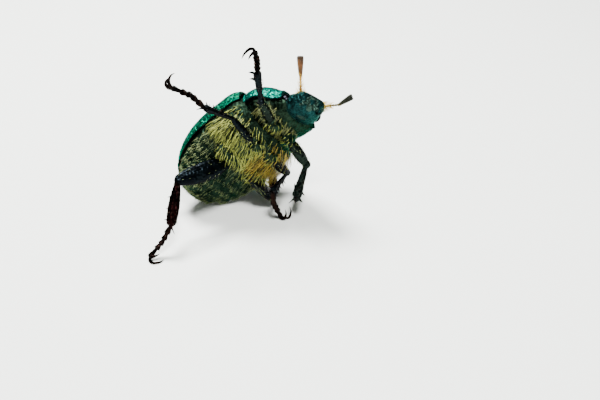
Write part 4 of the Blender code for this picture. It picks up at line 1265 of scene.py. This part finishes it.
# How thick a thigh is where its bristles stand, as (share of its length, share of its size)
FRINGE_STATIONS = [(0.0, 0.5), (0.25, 0.9), (0.45, 1.0), (0.7, 0.92), (0.88, 0.66), (1.0, 0.4)]


def make_body_hair():
    for label, (seed, angles, corner, material, length) in CHEST_SIDES.items():
        coat = Coat(f"coat_chest_{label}", material, "thorax", seed)
        for factor, hair in ((1.0, CHEST_TUFTS), (STRAY_LENGTH, CHEST_STRAYS)):
            comb(coat, belly_point, (-1.4, 2.4), angles, corner, chest_middle, back_and_in,
                 length=length * factor, keep=thinner_ahead, **hair)
        coat.make()
    coat = Coat("coat_prosternum", DULL_HAIR, "prothorax", 13)
    comb(coat, pro_belly_point, (2.9, 6.0), (0.95, 2.7), (0.52, 0.02), Vector((4.0, 0, -0.6)), back_and_in,
         **STERNUM_TUFTS)
    coat.make()
    for label, (seed, angles, corner) in BELLY_SIDES.items():
        coat = Coat(f"coat_belly_{label}", PALE_HAIR, "abdomen", seed)
        comb(coat, belly_point, (-8.3, -1.5), angles, corner, belly_middle, straight_back, keep=plate_rows,
             **BELLY_HAIRS)
        coat.make()


def hip_surface(centre, radii):
    """Lower half of a hip; u from -pi to 0 runs forward and v from 0 to pi runs across."""
    def point(u, v):
        ring = math.sin(-u)
        return centre + Vector((radii[0] * math.cos(u), radii[1] * ring * math.cos(v),
                                -radii[2] * ring * math.sin(v)))
    return point


def make_hip_hair():
    for seed, (kind, (count, length, corners)) in enumerate(HIP_HAIR.items(), FIRST_HIP_SEED):
        coat = Coat(f"coat_hips_{kind}", STRAW_HAIR, "coxa", seed)
        for (side, _), corner in zip(SIDES, corners):
            centre, radii = HIPS[kind]
            centre = hip_place(kind, side, centre)
            comb(coat, hip_surface(centre, radii), (-2.9, -0.3), (0.3, 2.84), corner, centre, back_and_in,
                 count=count, length=length, **HIP_TUFTS)
        coat.make()


def pygidium_point(u, v):
    """Point of the plate over the tail; u is its height and v its place across, both from -1 to 1."""
    x, y, z = PYGIDIUM_CENTRE
    a, b, c = PYGIDIUM_RADII
    return Vector((x - a * math.sqrt(max(1 - u * u * 0.98 - v * v * (1 - u * u), 0.02)),
                   y + b * v * math.sqrt(1 - u * u * 0.98), z + c * u))


def make_tail_hair():
    coat = Coat("coat_pygidium", PALE_HAIR, "pygidium", 16)
    comb(coat, pygidium_point, (-0.85, 0.6), (-0.9, 0.9), (0.02, 0.52), Vector(PYGIDIUM_CENTRE),
         down_the_tail, **TAIL_HAIRS)
    coat.make()


def limb_spot(near, far, side, size, t, angle, swell):
    """Root, outward direction and lie of a bristle, at a share of a limb's length and an angle round it."""
    along = (far - near).normalized()
    in_plane = side.cross(along).normalized()
    c, s = math.cos(angle), math.sin(angle)
    root = near.lerp(far, t) + in_plane * c * size[0] * swell + side * s * size[1] * swell
    return root, (in_plane * c + side * s).normalized(), along


def thigh_bristles(coat, leg, corner):
    """Bristles that are longest and closest along a thigh's two edges."""
    draw, size = coat.draw, THIGH_SIZE[leg.split("_")[0]]
    start, knee, side = thigh_root(leg), leg_point(leg, "knee"), broad_side(leg)
    for _ in range(THIGH_TRIES):
        t, angle = draw.uniform(0.12, 0.97), draw.uniform(0, math.tau)
        edge = abs(math.cos(angle)) ** 6
        if draw.random() > 0.25 + 0.75 * edge:
            continue
        spot = limb_spot(start, knee, side, size, t, angle, size_at(t, FRINGE_STATIONS))
        place = (corner[0] + LEG_AREA_WIDTH * t, corner[1] + LIMB_AREA_HEIGHT * angle / math.tau)
        coat.strand(*spot, place, 0.25 + 0.5 * edge * draw.random(), **THIGH_BRISTLE)


def shin_bristles(coat, leg, corner):
    draw, size = coat.draw, SHIN_SIZE[leg.split("_")[0]]
    knee, ankle, side = leg_point(leg, "knee"), leg_point(leg, "ankle"), broad_side(leg)
    for _ in range(SHIN_COUNT):
        t, angle = draw.uniform(0.08, 0.98), draw.uniform(0, math.tau)
        spot = limb_spot(knee, ankle, side, size, t, angle, 0.6 + 0.4 * t)
        place = (corner[0] + LEG_AREA_WIDTH * t, corner[1] + 0.12 + LIMB_AREA_HEIGHT * angle / math.tau)
        coat.strand(*spot, place, draw.uniform(0.2, 0.42), **SHIN_BRISTLE)


def foot_bristles(coat, leg, corner):
    """Four bristles round the end of each joint."""
    route, side = foot_route(leg), broad_side(leg)
    for near, far in zip(FOOT_JOINTS, FOOT_JOINTS[1:]):
        spot = along_route(route, near + (far - near) * 0.85)
        along = (spot - along_route(route, near + (far - near) * 0.3)).normalized()
        across = side.cross(along).normalized()
        for k in range(4):
            angle = math.tau * k / 4
            out = (across * math.cos(angle) + side * math.sin(angle)).normalized()
            place = (corner[0] + LEG_AREA_WIDTH * far, corner[1] + 0.24 + LIMB_AREA_HEIGHT * angle / math.tau)
            length = coat.draw.uniform(0.15, 0.3)
            coat.strand(spot + out * FOOT_RADIUS * 0.9, out, along, place, length, **SHIN_BRISTLE)


def make_leg_hair():
    fringe = Coat("coat_thighs", PALE_HAIR, "femur", 21)
    bristles = Coat("coat_shins", BROWN_HAIR, "tibia", 22)
    for index, leg in enumerate(LEGS):
        corner = (0.02 + LEG_AREA_STEP * index, 0.6)
        thigh_bristles(fringe, leg, corner)
        shin_bristles(bristles, leg, corner)
        foot_bristles(bristles, leg, corner)
    fringe.make()
    bristles.make()


def make_feeler_hair():
    coat = Coat("coat_feelers", FEELER_HAIR, "antenna", 31)
    for index, (side, label) in enumerate(SIDES):
        start, ahead, spread = antenna_axis(side, label)
        other = ahead.cross(spread).normalized()
        for _ in range(FEELER_COUNT):
            t = coat.draw.random() ** 2.2 * ANTENNAE[label]["bristled"]
            angle = coat.draw.uniform(0, math.tau)
            out = (spread * math.cos(angle) + other * math.sin(angle)).normalized()
            root = start + ahead * t * ANTENNAE[label]["stalk"] + out * (0.19 if t < 0.35 else 0.1)
            place = (0.78 + 0.1 * index + 0.08 * t, 0.3 + 0.1 * angle / math.tau)
            length = (0.6 - 0.4 * t) * coat.draw.uniform(0.6, 1.2)
            coat.strand(root, out, ahead, place, length, **FEELER_BRISTLE)
    coat.make()


# Stage

FLOOR_DROP = 0.00001
FLOOR_COLOUR = (0.72, 0.74, 0.7, 1.0)
SKY_COLOUR = (0.85, 0.92, 0.88, 1.0)
SKY_STRENGTH = 0.2
# Place and size in metres, and energy, of each light
LIGHTS = {
    "key": ((0.02, -0.1, 0.22), 0.05, 1.2),
    "rim": ((-0.05, 0.08, 0.2), 0.07, 2.2),
    "fill": ((0.12, -0.2, 0.06), 0.1, 0.15),
}


def make_stage():
    rows = [[Vector((x, y, 0)) for x in steps(-0.6, 0.6, 4)] for y in steps(-0.4, 0.8, 4)]
    floor = skin("floor", rows, wrap=False)
    material, tree, shader = new_material("floor")
    wire(tree, shader, {"Base Color": FLOOR_COLOUR, "Roughness": 0.8})
    floor.data.materials.append(material)
    face_up(floor, 0)
    floor.location.z = -FLOOR_DROP
    world = bpy.data.worlds.new("studio")
    bpy.context.scene.world = world
    world.use_nodes = True
    sky = world.node_tree.nodes["Background"]
    wire(world.node_tree, sky, {"Color": SKY_COLOUR, "Strength": SKY_STRENGTH})
    for name, (place, size, energy) in LIGHTS.items():
        data = bpy.data.lights.new(name, "AREA")
        data.size = size
        data.energy = energy
        light = new_object(name, data)
        light.location = place
        light.rotation_euler = (ORIGIN - light.location).to_track_quat("-Z", "Y").to_euler()


def make_camera():
    elevation = math.radians(VIEW_ELEVATION)
    data = bpy.data.cameras.new("camera")
    camera = new_object("camera", data)
    camera.location = ORIGIN + Vector((0, -math.cos(elevation), math.sin(elevation))) * CAMERA_DISTANCE
    camera.rotation_euler = (math.radians(90) - elevation, 0, 0)
    data.sensor_width = SENSOR_WIDTH
    data.lens = SENSOR_WIDTH * CAMERA_DISTANCE / (PICTURE[0] / PIXELS_PER_MM * MM)
    data.shift_x = (PICTURE[0] / 2 - ORIGIN_PIXEL[0]) / PICTURE[0]
    data.shift_y = -(PICTURE[1] / 2 - ORIGIN_PIXEL[1]) / PICTURE[0]
    data.clip_start = 0.002
    bpy.context.scene.camera = camera


make_camera()
make_stage()
for side, label in SIDES:
    make_case(side, label)
make_scutellum()
make_trunk()
make_prothorax()
make_head()
make_mouth()
for side, label in SIDES:
    make_antenna(side, label)
for leg in LEGS:
    make_thigh(leg)
    make_hip(leg)
    make_shin(leg)
    make_foot(leg)
make_body_hair()
make_hip_hair()
make_tail_hair()
make_leg_hair()
make_feeler_hair()
for obj, slot, nodes in PIECES:
    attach(obj, "root")
    if nodes:
        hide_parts(*nodes)
